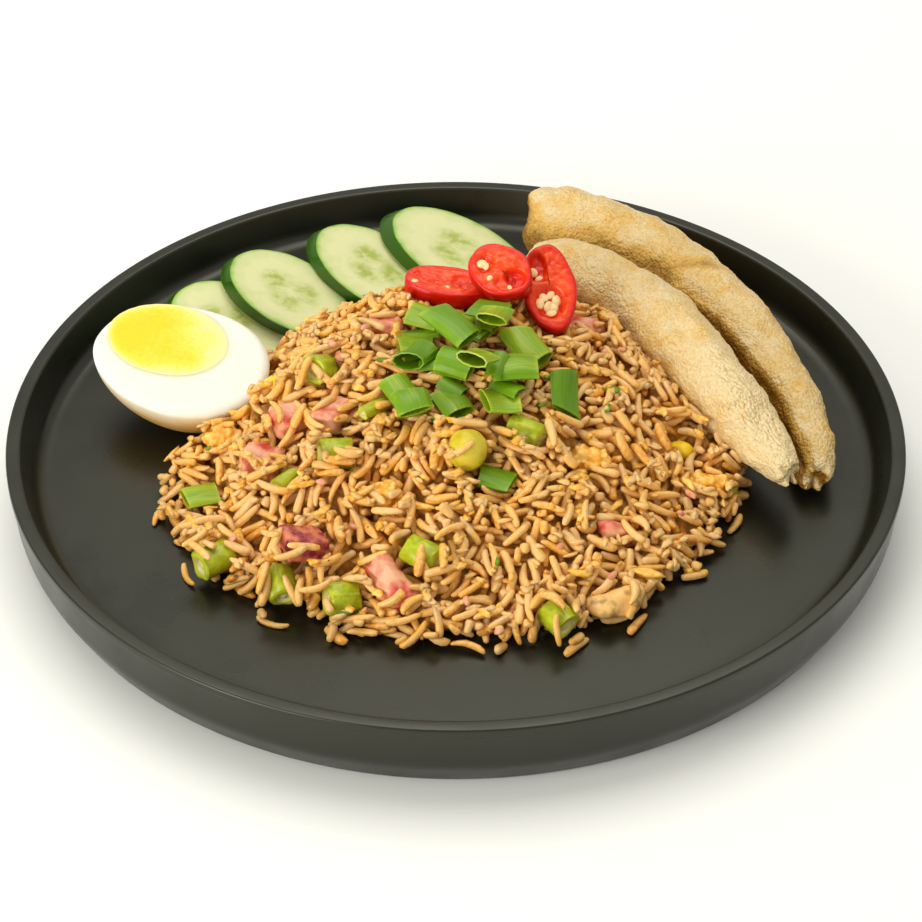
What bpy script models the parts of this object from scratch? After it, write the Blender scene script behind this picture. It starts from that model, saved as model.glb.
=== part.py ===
"""Plate of nasi goreng: a heap of fried rice on a black melamine plate, with half a boiled egg, four
cucumber slices, two fried fish sausages, chilli, spring onion, green beans, ham and egg.

The origin is the centre of the plate's foot, on the table. +Z is up, and +Y points from the bare front
of the plate to the cucumber at the back. All sizes are in metres.
"""

import math
import random

import bmesh
import bpy
from mathutils import Euler, Matrix, Vector, noise
from mathutils.bvhtree import BVHTree
from mathutils.geometry import delaunay_2d_cdt

# Plate
PLATE_RADIUS = 0.135
PLATE_HEIGHT = 0.024
RIM_WIDTH = 0.0042
RIM_ROUND = 0.0012
WAIST_RADIUS = 0.1337
WAIST_HEIGHT = 0.0092
FOOT_RADIUS = 0.1289
FOOT_WIDTH = 0.0033
UNDERSIDE = 0.0082
FLOOR = 0.012
FLOOR_RADIUS = 0.124
WALL_FOOT_RADIUS = 0.1273
WALL_FOOT_HEIGHT = 0.0155
PLATE_SEGMENTS = 64

# Clearance between pieces that touch
GAP = 0.0003

# Heap of rice: an oval foot, a summit behind its middle, and a low mound behind the summit
HEAP_CENTRE = Vector((-0.001, -0.0115))
HEAP_HALF_WIDTH = 0.088
HEAP_HALF_DEPTH = 0.078
SUMMIT = Vector((0.001, 0.026))
SUMMIT_HEIGHT = 0.038
HEAP_EDGE = 0.005
HEAP_ROUNDNESS = 2.2
HEAP_SLOPE = 1.45
MOUND = Vector((0.018, 0.033))
MOUND_HEIGHT = 0.006
MOUND_RADIUS = 0.014
# Each bay or bulge of the foot: its direction from the summit and spread in degrees, and its share
HEAP_LOBES = ((-163, 9, -0.055), (-115, 6, -0.045), (-100, 8, 0.015), (-50, 12, -0.02))
OUTLINE_POINTS = 112
OUTLINE_RAGGED = 0.0022

# Rice grain, and how the grains are spread
GRAIN_LENGTH = 0.0095
GRAIN_WIDTH = 0.0025
GRAIN_SIDES = 5
RIDGE_LENGTH = 0.0062
RIDGE_RISE = 0.0019
RIDGE_SPACING = 0.0027
VALLEY_SPACING = 0.0037
VALLEY_CLEARANCE = 0.0019
RIDGE_TRIES = 9000
LOOSE_GRAINS = 50
LOOSE_GRAIN_SPACING = 0.0125
FOOT_GRAINS = 40
FOOT_GRAIN_SPACING = 0.004
GRAIN_TRIES = 60

# Boiled egg half
EGG_LENGTH = 0.056
EGG_WIDTH = 0.043
EGG_BLUNTNESS = 0.09
EGG_POSITION = (-0.0843, 0.0183)
EGG_YAW = math.radians(-21)
EGG_TILT = math.radians(12)
YOLK_LENGTH = 0.0375
YOLK_WIDTH = 0.0275
YOLK_DEPTH = 0.0125
YOLK_OFFSET = (-0.0066, 0.0054)

# Cucumber slices
CUCUMBER_LENGTH = 0.053
CUCUMBER_WIDTH = 0.036
CUCUMBER_THICKNESS = 0.0046
CUCUMBER_SHEAR = 0.0048
CUCUMBER_SIDES = 28

# Fried fish sausages: how lumpy they are, how flat below, and how far their two ends narrow
SAUSAGE_SIDES = 14
SAUSAGE_RINGS = 18
SAUSAGE_LUMPS = 0.07
SAUSAGE_FLAT = 0.93
SAUSAGE_BACK_END = 0.80
SAUSAGE_FRONT_END = 0.62
SAUSAGE_FOLD = 0.10
SAUSAGE_TORN = 0.0025

# Spring onion, bean, ham, pea
ONION_RADIUS = 0.0044
ONION_WALL = 0.38
ONION_SIDES = 8
BEAN_RADIUS = 0.0052
BEAN_SIDES = 9
PEA_RADIUS = 0.0061

# Chilli slices
CHILLI_THICKNESS = 0.0040
CHILLI_WALL = 0.0027
CHILLI_RECESS = 0.0011
CHILLI_SHEAR = 0.0005
CHILLI_SIDES = 16

# Each slice: x, y, yaw of its long axis, roll, pitch and share of the usual size
CUCUMBERS = (
    (-0.0730, 0.0590, 123, 1.5, -3.0, 0.94),
    (-0.0545, 0.0710, 123, 10.5, -4.5, 0.97),
    (-0.0275, 0.0865, 121, 10.5, -5.0, 0.98),
    (0.0010, 0.0950, 130, 10.5, -7.0, 1.10),
)

# The noise that roughens the cut pieces starts from this, so they come out the same in each run
NOISE_SEED = 1795399439

# Each sausage: the four control points of its centre line, its radius at five even places, and the
# place in the noise that makes its lumps
SAUSAGES = (
    (
        ((0.0253, 0.1098), (0.0801, 0.0919), (0.1007, 0.0276), (0.1064, -0.0237)),
        (0.0130, 0.0129, 0.0124, 0.0108, 0.0078),
        11,
    ),
    (
        ((0.0253, 0.0738), (0.0671, 0.0543), (0.0734, 0.0067), (0.0974, -0.0274)),
        (0.0112, 0.0120, 0.0122, 0.0108, 0.0070),
        12,
    ),
)

# Each slice: x, y, height of its middle, length, width, yaw of its long axis, tilt to the front, roll
CHILLIES = (
    (-0.0027, 0.0290, 0.0525, 0.0255, 0.0145, -10, 6, 3),
    (0.0285, 0.0270, 0.0530, 0.0275, 0.0165, 100, 33, 0),
    (0.0135, 0.0262, 0.0595, 0.0200, 0.0170, -25, 30, -6),
)

# Each tube of spring onion: x, y, yaw, lean, length, flatness
ONIONS = (
    (-0.0122, 0.0060, 5, 0, 0.0095, 0.80),
    (-0.0115, -0.0040, 55, 12, 0.0085, 0.95),
    (-0.0094, 0.0140, -20, 0, 0.0085, 0.55),
    (0.0048, 0.0125, -30, 0, 0.0110, 0.70),
    (-0.0012, 0.0045, -49, 8, 0.0150, 0.65),
    (0.0105, 0.0130, -20, 0, 0.0105, 0.55),
    (0.0115, 0.0050, 70, 10, 0.0070, 0.70),
    (0.0215, 0.0050, -60, 6, 0.0140, 0.70),
    (0.0125, -0.0042, -12, 5, 0.0135, 0.75),
    (-0.0002, -0.0085, -30, -8, 0.0100, 0.95),
    (0.0170, -0.0125, 5, 0, 0.0125, 0.85),
    (-0.0010, -0.0190, -65, 10, 0.0092, 0.80),
    (0.0068, -0.0165, 60, 20, 0.0085, 0.65),
    (0.0135, -0.0222, 15, 10, 0.0092, 0.85),
    (0.0327, -0.0128, -88, 18, 0.0125, 1.00),
    (-0.0150, -0.0180, -58, 10, 0.0135, 0.75),
    (-0.0127, -0.0270, -70, 10, 0.0065, 0.70),
    (-0.0748, -0.0312, 20, 0, 0.0090, 0.55),
    (0.0118, -0.0425, -15, 0, 0.0085, 0.70),
)
ONION_BURIED = 0.0030

# Each piece of green bean: x, y, yaw, lean, length, share of the usual radius
BEANS = (
    (-0.0402, -0.0002, 60, 25, 0.0095, 1.00),
    (-0.0236, -0.0184, 38, 0, 0.0115, 0.50),
    (-0.0350, -0.0322, 10, 10, 0.0105, 0.95),
    (-0.0495, -0.0367, 55, 0, 0.0090, 0.60),
    (-0.0691, -0.0605, 35, 0, 0.0110, 1.12),
    (-0.0493, -0.0722, -75, 20, 0.0090, 1.00),
    (-0.0318, -0.0770, 25, 10, 0.0100, 1.00),
    (-0.0087, -0.0660, -35, 0, 0.0115, 1.10),
    (0.0204, -0.0280, -30, 5, 0.0115, 0.95),
    (0.0285, -0.0850, -50, 10, 0.0095, 0.95),
)
BEAN_BURIED = 0.0045

# Each piece of ham: x, y, yaw, lean, and its three sides
HAMS = (
    (-0.0213, 0.0159, 20, 10, 0.0095, 0.0065, 0.0050),
    (-0.0360, -0.0180, 62, 8, 0.0140, 0.0070, 0.0060),
    (-0.0489, -0.0155, 30, 12, 0.0095, 0.0090, 0.0080),
    (-0.0567, -0.0280, -15, 8, 0.0110, 0.0090, 0.0080),
    (-0.0427, -0.0640, 25, 15, 0.0130, 0.0100, 0.0080),
    (-0.0179, -0.0743, -50, 12, 0.0165, 0.0095, 0.0070),
    (0.0456, -0.0524, 10, 10, 0.0095, 0.0065, 0.0050),
    (0.0400, 0.0300, -10, 5, 0.0100, 0.0060, 0.0045),
)
HAM_BURIED = 0.0048

# Each soft lump: name, x, y, yaw, and its three sides
LUMPS = (
    ("scrambled_egg_1", -0.0700, -0.0110, 20, 0.0120, 0.0095, 0.0065),
    ("scrambled_egg_2", -0.0211, -0.0464, 40, 0.0130, 0.0100, 0.0065),
    ("scrambled_egg_3", 0.0396, -0.0302, -10, 0.0120, 0.0085, 0.0060),
    ("scrambled_egg_4", 0.0738, -0.0300, -30, 0.0125, 0.0090, 0.0065),
    ("sweetcorn_1", 0.0668, -0.0159, -40, 0.0095, 0.0065, 0.0055),
    ("sweetcorn_2", -0.0560, 0.0060, 60, 0.0095, 0.0065, 0.0055),
    ("browned_piece", 0.0446, -0.0770, 20, 0.0165, 0.0095, 0.0075),
)
LUMP_BURIED = 0.0042
PEAS = ((0.0032, -0.0378, 1.0), (0.0800, -0.0270, 0.55))
PEA_BURIED = 0.0062

# Least height above the plate's floor of a piece that lies on rice
RICE_UNDER_PIECE = 0.0018

COLOURS = {
    "plate": ((0.030, 0.030, 0.026), 0.35),
    "rice": ((0.58, 0.33, 0.13), 0.55),
    "egg white": ((0.93, 0.91, 0.82), 0.30),
    "egg yolk": ((0.96, 0.72, 0.06), 0.55),
    "cucumber": ((0.62, 0.72, 0.30), 0.30),
    "fried fish sausage": ((0.60, 0.40, 0.16), 0.60),
    "chilli": ((0.72, 0.03, 0.01), 0.22),
    "spring onion": ((0.09, 0.30, 0.02), 0.30),
    "green bean": ((0.28, 0.42, 0.04), 0.30),
    "ham": ((0.68, 0.19, 0.17), 0.35),
    "scrambled egg": ((0.85, 0.50, 0.10), 0.45),
    "sweetcorn": ((0.85, 0.62, 0.08), 0.30),
    "browned piece": ((0.55, 0.33, 0.14), 0.50),
}


def clear_scene():
    for obj in list(bpy.data.objects):
        bpy.data.objects.remove(obj, do_unlink=True)


def material(name):
    if name in bpy.data.materials:
        return bpy.data.materials[name]
    colour, roughness = COLOURS[name]
    made = bpy.data.materials.new(name)
    made.use_nodes = True
    shader = made.node_tree.nodes["Principled BSDF"]
    shader.inputs["Base Color"].default_value = (*colour, 1)
    shader.inputs["Roughness"].default_value = roughness
    shader.inputs["Metallic"].default_value = 0.0
    return made


def add_object(name, bm, look, sharp=40):
    """Make an object of a bmesh, its faces pointing out and its round sides shaded smooth."""
    bmesh.ops.recalc_face_normals(bm, faces=bm.faces)
    mesh = bpy.data.meshes.new(name)
    bm.to_mesh(mesh)
    bm.free()
    mesh.shade_smooth()
    mesh.set_sharp_from_angle(angle=math.radians(sharp))
    mesh.materials.append(material(look))
    obj = bpy.data.objects.new(name, mesh)
    bpy.context.scene.collection.objects.link(obj)
    return obj


def loft(bm, rings, dish=0.0):
    """Skin one ring of points after another, and close both ends with fans, sunk by dish."""
    loops = [[bm.verts.new(point) for point in ring] for ring in rings]
    for loop, following in zip(loops, loops[1:]):
        for i, vert in enumerate(loop):
            j = (i + 1) % len(loop)
            bm.faces.new((vert, loop[j], following[j], following[i]))
    for loop, inner in ((loops[0], loops[1]), (loops[-1], loops[-2])):
        middle = sum((v.co for v in loop), Vector()) / len(loop)
        inward = sum((v.co for v in inner), Vector()) / len(inner) - middle
        if inward.length < 1e-6:
            others = loops[-1] if loop is loops[0] else loops[0]
            inward = sum((v.co for v in others), Vector()) / len(others) - middle
        hub = bm.verts.new(middle + inward.normalized() * dish)
        for i, vert in enumerate(loop):
            bm.faces.new((vert, loop[(i + 1) % len(loop)], hub))


def ring_at(x, across, up, sides, turn=0.0):
    """A ring of points round the X axis."""
    points = []
    for i in range(sides):
        angle = turn + 2 * math.pi * i / sides
        points.append(Vector((x, across * math.cos(angle), up * math.sin(angle))))
    return points


def roughen(bm, amount, scale, seed):
    """Move each point by smooth noise, so that no two cut pieces are alike."""
    shift = Vector((seed * 1.7, seed * 0.9, seed * 2.3))
    for vert in bm.verts:
        vert.co += noise.noise_vector(vert.co * scale + shift) * amount


# Solids in the world, for finding where pieces rest


def world_shape(obj, swell=0.0):
    """The object's points and faces in the world, its points moved out by swell."""
    bpy.context.view_layer.update()
    graph = bpy.context.evaluated_depsgraph_get()
    mesh = obj.evaluated_get(graph).to_mesh()
    turn = obj.matrix_world.to_3x3()
    points = []
    for vert in mesh.vertices:
        normal = (turn @ vert.normal).normalized()
        points.append(obj.matrix_world @ vert.co + normal * swell)
    faces = [tuple(polygon.vertices) for polygon in mesh.polygons]
    obj.evaluated_get(graph).to_mesh_clear()
    return points, faces


def tree_of(shape, lift=0.0):
    points, faces = shape
    return BVHTree.FromPolygons([p + Vector((0, 0, lift)) for p in points], faces)


def rest_on_height(obj, height):
    """Lower or lift the object so that its lowest point is at a height."""
    points, _ = world_shape(obj)
    obj.location.z += height - min(p.z for p in points)


def lift_clear(obj, others, step=0.0003, clearance=GAP):
    """Lift the object until it is clear of the others by the clearance."""
    shape = world_shape(obj, clearance)
    trees = [tree_of(world_shape(other)) for other in others]
    lift = 0.0
    while any(tree_of(shape, lift).overlap(tree) for tree in trees):
        lift += step
    obj.location.z += lift


# Plate


def plate_profile():
    """Radius and height round the plate's wall, from under its middle to the middle of its floor."""
    inner_rim = PLATE_RADIUS - RIM_WIDTH
    foot_inner = FOOT_RADIUS - FOOT_WIDTH
    fillet = (FLOOR_RADIUS + WALL_FOOT_RADIUS) / 2 + 0.0006
    return (
        (foot_inner - 0.0006, UNDERSIDE),
        (foot_inner, 0.0),
        (FOOT_RADIUS, 0.0),
        (WAIST_RADIUS, WAIST_HEIGHT),
        (PLATE_RADIUS, PLATE_HEIGHT - RIM_ROUND),
        (PLATE_RADIUS - RIM_ROUND * 0.4, PLATE_HEIGHT - RIM_ROUND * 0.3),
        (PLATE_RADIUS - RIM_ROUND * 1.3, PLATE_HEIGHT),
        (inner_rim + RIM_ROUND * 1.0, PLATE_HEIGHT),
        (inner_rim, PLATE_HEIGHT - RIM_ROUND * 0.7),
        (WALL_FOOT_RADIUS, WALL_FOOT_HEIGHT),
        (fillet, FLOOR + 0.0009),
        (FLOOR_RADIUS, FLOOR),
    )


def add_plate():
    """Turn the profile round the Z axis, and close the floor and the underside with fans."""
    bm = bmesh.new()
    profile = plate_profile()
    loops = []
    for i in range(PLATE_SEGMENTS):
        angle = 2 * math.pi * i / PLATE_SEGMENTS
        direction = Vector((math.cos(angle), math.sin(angle), 0))
        loops.append([bm.verts.new(direction * r + Vector((0, 0, z))) for r, z in profile])
    under = bm.verts.new((0, 0, UNDERSIDE))
    floor = bm.verts.new((0, 0, FLOOR))
    for i, loop in enumerate(loops):
        following = loops[(i + 1) % PLATE_SEGMENTS]
        for j in range(len(profile) - 1):
            bm.faces.new((loop[j], following[j], following[j + 1], loop[j + 1]))
        bm.faces.new((under, following[0], loop[0]))
        bm.faces.new((floor, loop[-1], following[-1]))
    return add_object("plate", bm, "plate", sharp=50)


# Egg


def egg_surface(bm, length, width, depth, bluntness):
    """Shape a unit sphere into an egg that lies along X."""
    for vert in bm.verts:
        x, y, z = vert.co
        swell = 1 + bluntness * x
        vert.co = Vector((x * length / 2, y * swell * width / 2, z * swell * depth))


def unit_sphere(around, along):
    """A sphere of radius 1 with its poles on the X axis."""
    bm = bmesh.new()
    bmesh.ops.create_uvsphere(bm, u_segments=around, v_segments=along, radius=1.0)
    bmesh.ops.rotate(bm, verts=bm.verts, matrix=Matrix.Rotation(math.pi / 2, 3, "Y"))
    return bm


def keep_below_cut(bm):
    """Cut at Z = 0, keep what is below, and close the cut."""
    geometry = list(bm.verts) + list(bm.edges) + list(bm.faces)
    bmesh.ops.bisect_plane(
        bm, geom=geometry, dist=1e-6, plane_co=(0, 0, 0), plane_no=(0, 0, 1), clear_outer=True
    )
    bmesh.ops.holes_fill(bm, edges=[e for e in bm.edges if e.is_boundary], sides=0)


def add_egg():
    """The white with a hollow, and the yolk that sits in it, both under one empty."""
    holder = bpy.data.objects.new("egg_half", None)
    bpy.context.scene.collection.objects.link(holder)
    holder.location = (*EGG_POSITION, 0)
    holder.rotation_euler = (
        Matrix.Rotation(EGG_TILT, 3, "X") @ Matrix.Rotation(EGG_YAW, 3, "Z")
    ).to_euler()

    bm = unit_sphere(20, 14)
    egg_surface(bm, EGG_LENGTH, EGG_WIDTH, EGG_WIDTH / 2, EGG_BLUNTNESS)
    keep_below_cut(bm)
    white = add_object("egg_white", bm, "egg white")
    white.parent = holder

    bm = unit_sphere(16, 10)
    egg_surface(bm, YOLK_LENGTH, YOLK_WIDTH, YOLK_DEPTH, 0.0)
    keep_below_cut(bm)
    yolk = add_object("egg_yolk", bm, "egg yolk")
    yolk.parent = holder
    yolk.location = (*YOLK_OFFSET, 0)

    bm = unit_sphere(16, 10)
    egg_surface(bm, YOLK_LENGTH + 2 * GAP, YOLK_WIDTH + 2 * GAP, YOLK_DEPTH + GAP, 0.0)
    hollow = add_object("yolk_hollow", bm, "egg yolk")
    hollow.parent = holder
    hollow.location = yolk.location
    hollow.display_type = "WIRE"
    hollow.hide_render = True
    cut = white.modifiers.new("hollow for the yolk", "BOOLEAN")
    cut.operation = "DIFFERENCE"
    cut.object = hollow

    points, _ = world_shape(white)
    holder.location.z = FLOOR + GAP - min(p.z for p in points)
    return white, yolk


# Cucumber


def add_cucumber(index, x, y, yaw, roll, pitch, scale):
    """A slice cut at a slant: two equal ovals, the lower one shifted along the cucumber's axis."""
    bm = bmesh.new()
    half = (CUCUMBER_LENGTH * scale / 2, CUCUMBER_WIDTH * scale / 2)
    rings = []
    for z, shift, size in ((0.0, CUCUMBER_SHEAR, 1.0), (CUCUMBER_THICKNESS, 0.0, 1.0)):
        ring = []
        for i in range(CUCUMBER_SIDES):
            angle = 2 * math.pi * i / CUCUMBER_SIDES
            wobble = 1 + 0.015 * math.sin(3 * angle + index)
            across = half[0] * size * wobble * math.cos(angle) + shift
            ring.append(Vector((across, half[1] * size * wobble * math.sin(angle), z)))
        rings.append(ring)
    loft(bm, rings)
    obj = add_object(f"cucumber_slice_{index}", bm, "cucumber")
    obj.location = (x, y, 0)
    obj.rotation_euler = Euler((math.radians(roll), math.radians(pitch), math.radians(yaw)))
    rest_on_height(obj, FLOOR + GAP)
    return obj


# Fish sausage


def bezier(controls, t):
    a, b, c, d = (Vector(p) for p in controls)
    s = 1 - t
    return a * s**3 + b * 3 * s * s * t + c * 3 * s * t * t + d * t**3


def bezier_direction(controls, t):
    a, b, c, d = (Vector(p) for p in controls)
    s = 1 - t
    return ((b - a) * s * s + (c - b) * 2 * s * t + (d - c) * t * t).normalized()


def radius_at(radii, t):
    """Smooth step between evenly placed radii."""
    place = t * (len(radii) - 1)
    i = min(int(place), len(radii) - 2)
    part = place - i
    part = part * part * (3 - 2 * part)
    return radii[i] * (1 - part) + radii[i + 1] * part


def add_sausage(index, controls, radii, seed):
    """A bent, lumpy roll: blunt at the back, thinner and torn open at the front."""
    bm = bmesh.new()
    rings = []
    for i in range(SAUSAGE_RINGS):
        t = i / (SAUSAGE_RINGS - 1)
        centre = bezier(controls, t)
        along = bezier_direction(controls, t)
        side = Vector((along.y, -along.x))
        full = radius_at(radii, t)
        radius = full * {0: SAUSAGE_BACK_END, SAUSAGE_RINGS - 1: SAUSAGE_FRONT_END}.get(i, 1.0)
        torn = SAUSAGE_TORN if i in (0, SAUSAGE_RINGS - 1) else 0.0
        ring = []
        for j in range(SAUSAGE_SIDES):
            angle = 2 * math.pi * j / SAUSAGE_SIDES
            place = Vector((math.cos(angle), math.sin(angle), 0)) * 1.6 + Vector((0, seed, t * 9))
            lump = 1 + SAUSAGE_LUMPS * noise.noise(place)
            if t > 0.85 and j in (3, 4):
                lump -= SAUSAGE_FOLD
            offset = side * (radius * math.cos(angle) * lump)
            spot = centre + offset + along * (torn * noise.noise(place * 1.7))
            rise = radius * max(math.sin(angle) * lump, -SAUSAGE_FLAT)
            ring.append(Vector((spot.x, spot.y, full + rise)))
        rings.append(ring)
    loft(bm, rings, dish=0.0012)
    obj = add_object(f"fish_sausage_{index}", bm, "fried fish sausage", sharp=60)
    rest_on_height(obj, FLOOR + GAP)
    return obj


# Chilli


def add_chilli(index, x, y, height, length, width, yaw, tilt, roll):
    """A slanted slice of chilli: a ring of flesh round a sunken middle, on both faces."""
    bm = bmesh.new()
    half = CHILLI_THICKNESS / 2
    rings = []
    for z, inset in (
        (-half + CHILLI_RECESS, CHILLI_WALL),
        (-half, CHILLI_WALL * 0.75),
        (-half, 0.0),
        (half, 0.0),
        (half, CHILLI_WALL * 0.75),
        (half - CHILLI_RECESS, CHILLI_WALL),
    ):
        shift = -math.copysign(CHILLI_SHEAR, z)
        ring = []
        for i in range(CHILLI_SIDES):
            angle = 2 * math.pi * i / CHILLI_SIDES
            across = (length / 2 - inset) * math.cos(angle) + shift
            ring.append(Vector((across, (width / 2 - inset) * math.sin(angle), z)))
        rings.append(ring)
    loft(bm, rings, dish=-0.0005)
    roughen(bm, 0.0004, 180, index)
    obj = add_object(f"chilli_slice_{index}", bm, "chilli")
    turn = Matrix.Rotation(math.radians(tilt), 3, "X") @ Matrix.Rotation(math.radians(roll), 3, "Y")
    obj.rotation_euler = (turn @ Matrix.Rotation(math.radians(yaw), 3, "Z")).to_euler()
    obj.location = (x, y, height)
    return obj


# Small pieces in the rice


def set_down(obj, x, y, yaw, lean, buried):
    """Turn a piece, and sink it into the rice at a place."""
    turn = Matrix.Rotation(math.radians(yaw), 3, "Z") @ Matrix.Rotation(math.radians(lean), 3, "Y")
    obj.rotation_euler = turn.to_euler()
    obj.location = (x, y, 0)
    rest_on_height(obj, max(heap_height(x, y) - buried, FLOOR + GAP + RICE_UNDER_PIECE))


def add_onion(index, x, y, yaw, lean, length, flatness):
    """A short length of spring onion with a wall round each sunken end."""
    bm = bmesh.new()
    core = 1 - ONION_WALL
    rings = []
    for end, share in ((-0.5, core), (-0.5, 1.0), (0.5, 1.0), (0.5, core)):
        radius = ONION_RADIUS * share
        rings.append(ring_at(length * end, radius, radius * flatness, ONION_SIDES, index))
    loft(bm, rings, dish=length * 0.18)
    roughen(bm, 0.0004, 160, index)
    obj = add_object(f"spring_onion_{index}", bm, "spring onion")
    set_down(obj, x, y, yaw, lean, ONION_BURIED)
    return obj


def add_bean(index, x, y, yaw, lean, length, share):
    """A length cut from a green bean."""
    bm = bmesh.new()
    radius = BEAN_RADIUS * share
    rings = [ring_at(length * end, radius, radius * 0.92, BEAN_SIDES, index) for end in (-0.5, 0.5)]
    loft(bm, rings)
    roughen(bm, 0.0005, 140, 20 + index)
    obj = add_object(f"green_bean_{index}", bm, "green bean")
    set_down(obj, x, y, yaw, lean, BEAN_BURIED * share)
    return obj


def add_ham(index, x, y, yaw, lean, length, width, height):
    """A roughly cut block of ham with worn edges."""
    bm = bmesh.new()
    bmesh.ops.create_cube(bm, size=1.0)
    bmesh.ops.scale(bm, vec=(length, width, height), verts=bm.verts)
    bmesh.ops.bevel(
        bm,
        geom=list(bm.edges),
        offset=0.0011,
        offset_type="OFFSET",
        segments=1,
        profile=0.5,
        affect="EDGES",
        material=-1,
    )
    roughen(bm, 0.0012, 120, 40 + index)
    obj = add_object(f"ham_{index}", bm, "ham")
    set_down(obj, x, y, yaw, lean, HAM_BURIED)
    return obj


def add_lump(index, name, x, y, yaw, length, width, height):
    """A soft, uneven lump."""
    bm = bmesh.new()
    bmesh.ops.create_icosphere(bm, subdivisions=2, radius=0.5)
    bmesh.ops.scale(bm, vec=(length, width, height), verts=bm.verts)
    roughen(bm, 0.0016, 150, 60 + index)
    look = name.rstrip("_0123456789").replace("_", " ")
    obj = add_object(name, bm, look, sharp=180)
    set_down(obj, x, y, yaw, 0, LUMP_BURIED)
    return obj


def add_pea(index, x, y, share):
    bm = bmesh.new()
    bmesh.ops.create_icosphere(bm, subdivisions=2, radius=PEA_RADIUS * share)
    roughen(bm, 0.0005, 120, 80 + index)
    obj = add_object(f"pea_{index}", bm, "green bean", sharp=180)
    set_down(obj, x, y, 0, 0, PEA_BURIED * share)
    return obj


# Rice


def heap_reach(angle):
    """Distance from the summit to the heap's foot in a direction."""
    start = SUMMIT - HEAP_CENTRE
    dx = math.cos(angle) / HEAP_HALF_WIDTH
    dy = math.sin(angle) / HEAP_HALF_DEPTH
    ox = start.x / HEAP_HALF_WIDTH
    oy = start.y / HEAP_HALF_DEPTH
    a = dx * dx + dy * dy
    b = ox * dx + oy * dy
    c = ox * ox + oy * oy - 1
    reach = (-b + math.sqrt(b * b - a * c)) / a
    for direction, spread, share in HEAP_LOBES:
        off = (math.degrees(angle) - direction + 180) % 360 - 180
        reach *= 1 + share * math.exp(-((off / spread) ** 2))
    return reach


def heap_height(x, y):
    """Height of the rice above the table."""
    away = Vector((x, y)) - SUMMIT
    reach = heap_reach(math.atan2(away.y, away.x))
    out = min(away.length / reach, 1.0)
    rise = (SUMMIT_HEIGHT - HEAP_EDGE) * (1 - out**HEAP_ROUNDNESS) ** HEAP_SLOPE
    near = (Vector((x, y)) - MOUND).length / MOUND_RADIUS
    mound = MOUND_HEIGHT * math.exp(-near * near)
    return FLOOR + HEAP_EDGE + rise + mound


def heap_outline(rng, trees):
    """Points round the heap's foot, drawn in where a topping stands on the plate."""
    directions = []
    reaches = []
    for i in range(OUTLINE_POINTS):
        angle = 2 * math.pi * i / OUTLINE_POINTS
        directions.append(Vector((math.cos(angle), math.sin(angle))))
        reaches.append(heap_reach(angle) + rng.uniform(-1, 0.6) * OUTLINE_RAGGED)
    settled = False
    while not settled:
        settled = True
        points = [SUMMIT + d * reach for d, reach in zip(directions, reaches)]
        for i, point in enumerate(points):
            j = (i + 1) % OUTLINE_POINTS
            side = [point.lerp(points[j], share) for share in (0, 0.25, 0.5, 0.75)]
            if not all(stands_clear(spot, trees) for spot in side):
                reaches[i if reaches[i] > reaches[j] else j] -= 0.0006
                settled = False
    return points


def stands_clear(point, trees):
    """Whether the foot of the rice at a point keeps clear of every topping."""
    for height in (0.0008, 0.0022, 0.0036):
        for tree in trees:
            spot = Vector((point.x, point.y, FLOOR + height))
            if tree.find_nearest(spot)[3] < 3.2 * GAP:
                return False
            if is_inside(tree, spot):
                return False
    return True


def is_inside(tree, spot):
    """Whether a spot is inside a closed solid: a ray straight up leaves it an odd number of times."""
    crossings = 0
    origin = spot.copy()
    while crossings < 8:
        hit, _, _, _ = tree.ray_cast(origin, Vector((0.0011, 0.0007, 1.0)))
        if hit is None:
            break
        crossings += 1
        origin = hit + Vector((0, 0, 1e-6))
    return crossings % 2 == 1


def segment_distance(a, b, c, d):
    """Least distance between two short segments, from their ends and middles."""

    def from_point(p, start, end):
        along = end - start
        share = max(0.0, min(1.0, (p - start).dot(along) / along.length_squared))
        return (p - start - along * share).length

    return min(
        from_point(a, c, d),
        from_point(b, c, d),
        from_point(c, a, b),
        from_point(d, a, b),
        from_point((a + b) / 2, c, d),
    )


def ridge_segments(rng, outline):
    """Where grains show as ridges: short segments laid one by one where there is room."""
    ridges = []
    for _ in range(RIDGE_TRIES):
        angle = rng.uniform(0, 2 * math.pi)
        far = heap_reach(angle) - 0.004
        middle = SUMMIT + Vector((math.cos(angle), math.sin(angle))) * far * math.sqrt(rng.random())
        yaw = rng.uniform(0, math.pi)
        half = Vector((math.cos(yaw), math.sin(yaw))) * RIDGE_LENGTH / 2 * rng.uniform(0.8, 1.1)
        a = middle - half
        b = middle + half
        if not (inside_outline(a, outline) and inside_outline(b, outline)):
            continue
        near = (r for r in ridges if (r[2] - middle).length < 0.011)
        if all(segment_distance(a, b, c, d) > RIDGE_SPACING for c, d, _ in near):
            ridges.append((a, b, middle))
    return ridges


def inside_outline(point, outline, margin=0.0022):
    away = point - SUMMIT
    turn = math.atan2(away.y, away.x) % (2 * math.pi) / (2 * math.pi) * OUTLINE_POINTS
    i = int(turn) % OUTLINE_POINTS
    j = (i + 1) % OUTLINE_POINTS
    reach = min((outline[i] - SUMMIT).length, (outline[j] - SUMMIT).length)
    return away.length < reach - margin


def valley_points(rng, outline, ridges):
    """Low points between the ridges."""
    points = []
    size = HEAP_HALF_WIDTH + 0.004
    steps = int(2 * size / VALLEY_SPACING)
    for i in range(steps):
        for j in range(steps):
            x = -size + (i + rng.uniform(0.2, 0.8)) * VALLEY_SPACING
            y = -size + (j + rng.uniform(0.2, 0.8)) * VALLEY_SPACING
            point = Vector((x, y))
            if not inside_outline(point, outline, 0.0018):
                continue
            tip = point + Vector((1e-6, 0))
            near = (r for r in ridges if (r[2] - point).length < 0.008)
            if all(segment_distance(point, tip, a, b) > VALLEY_CLEARANCE for a, b, _ in near):
                points.append(point)
    return points


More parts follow.
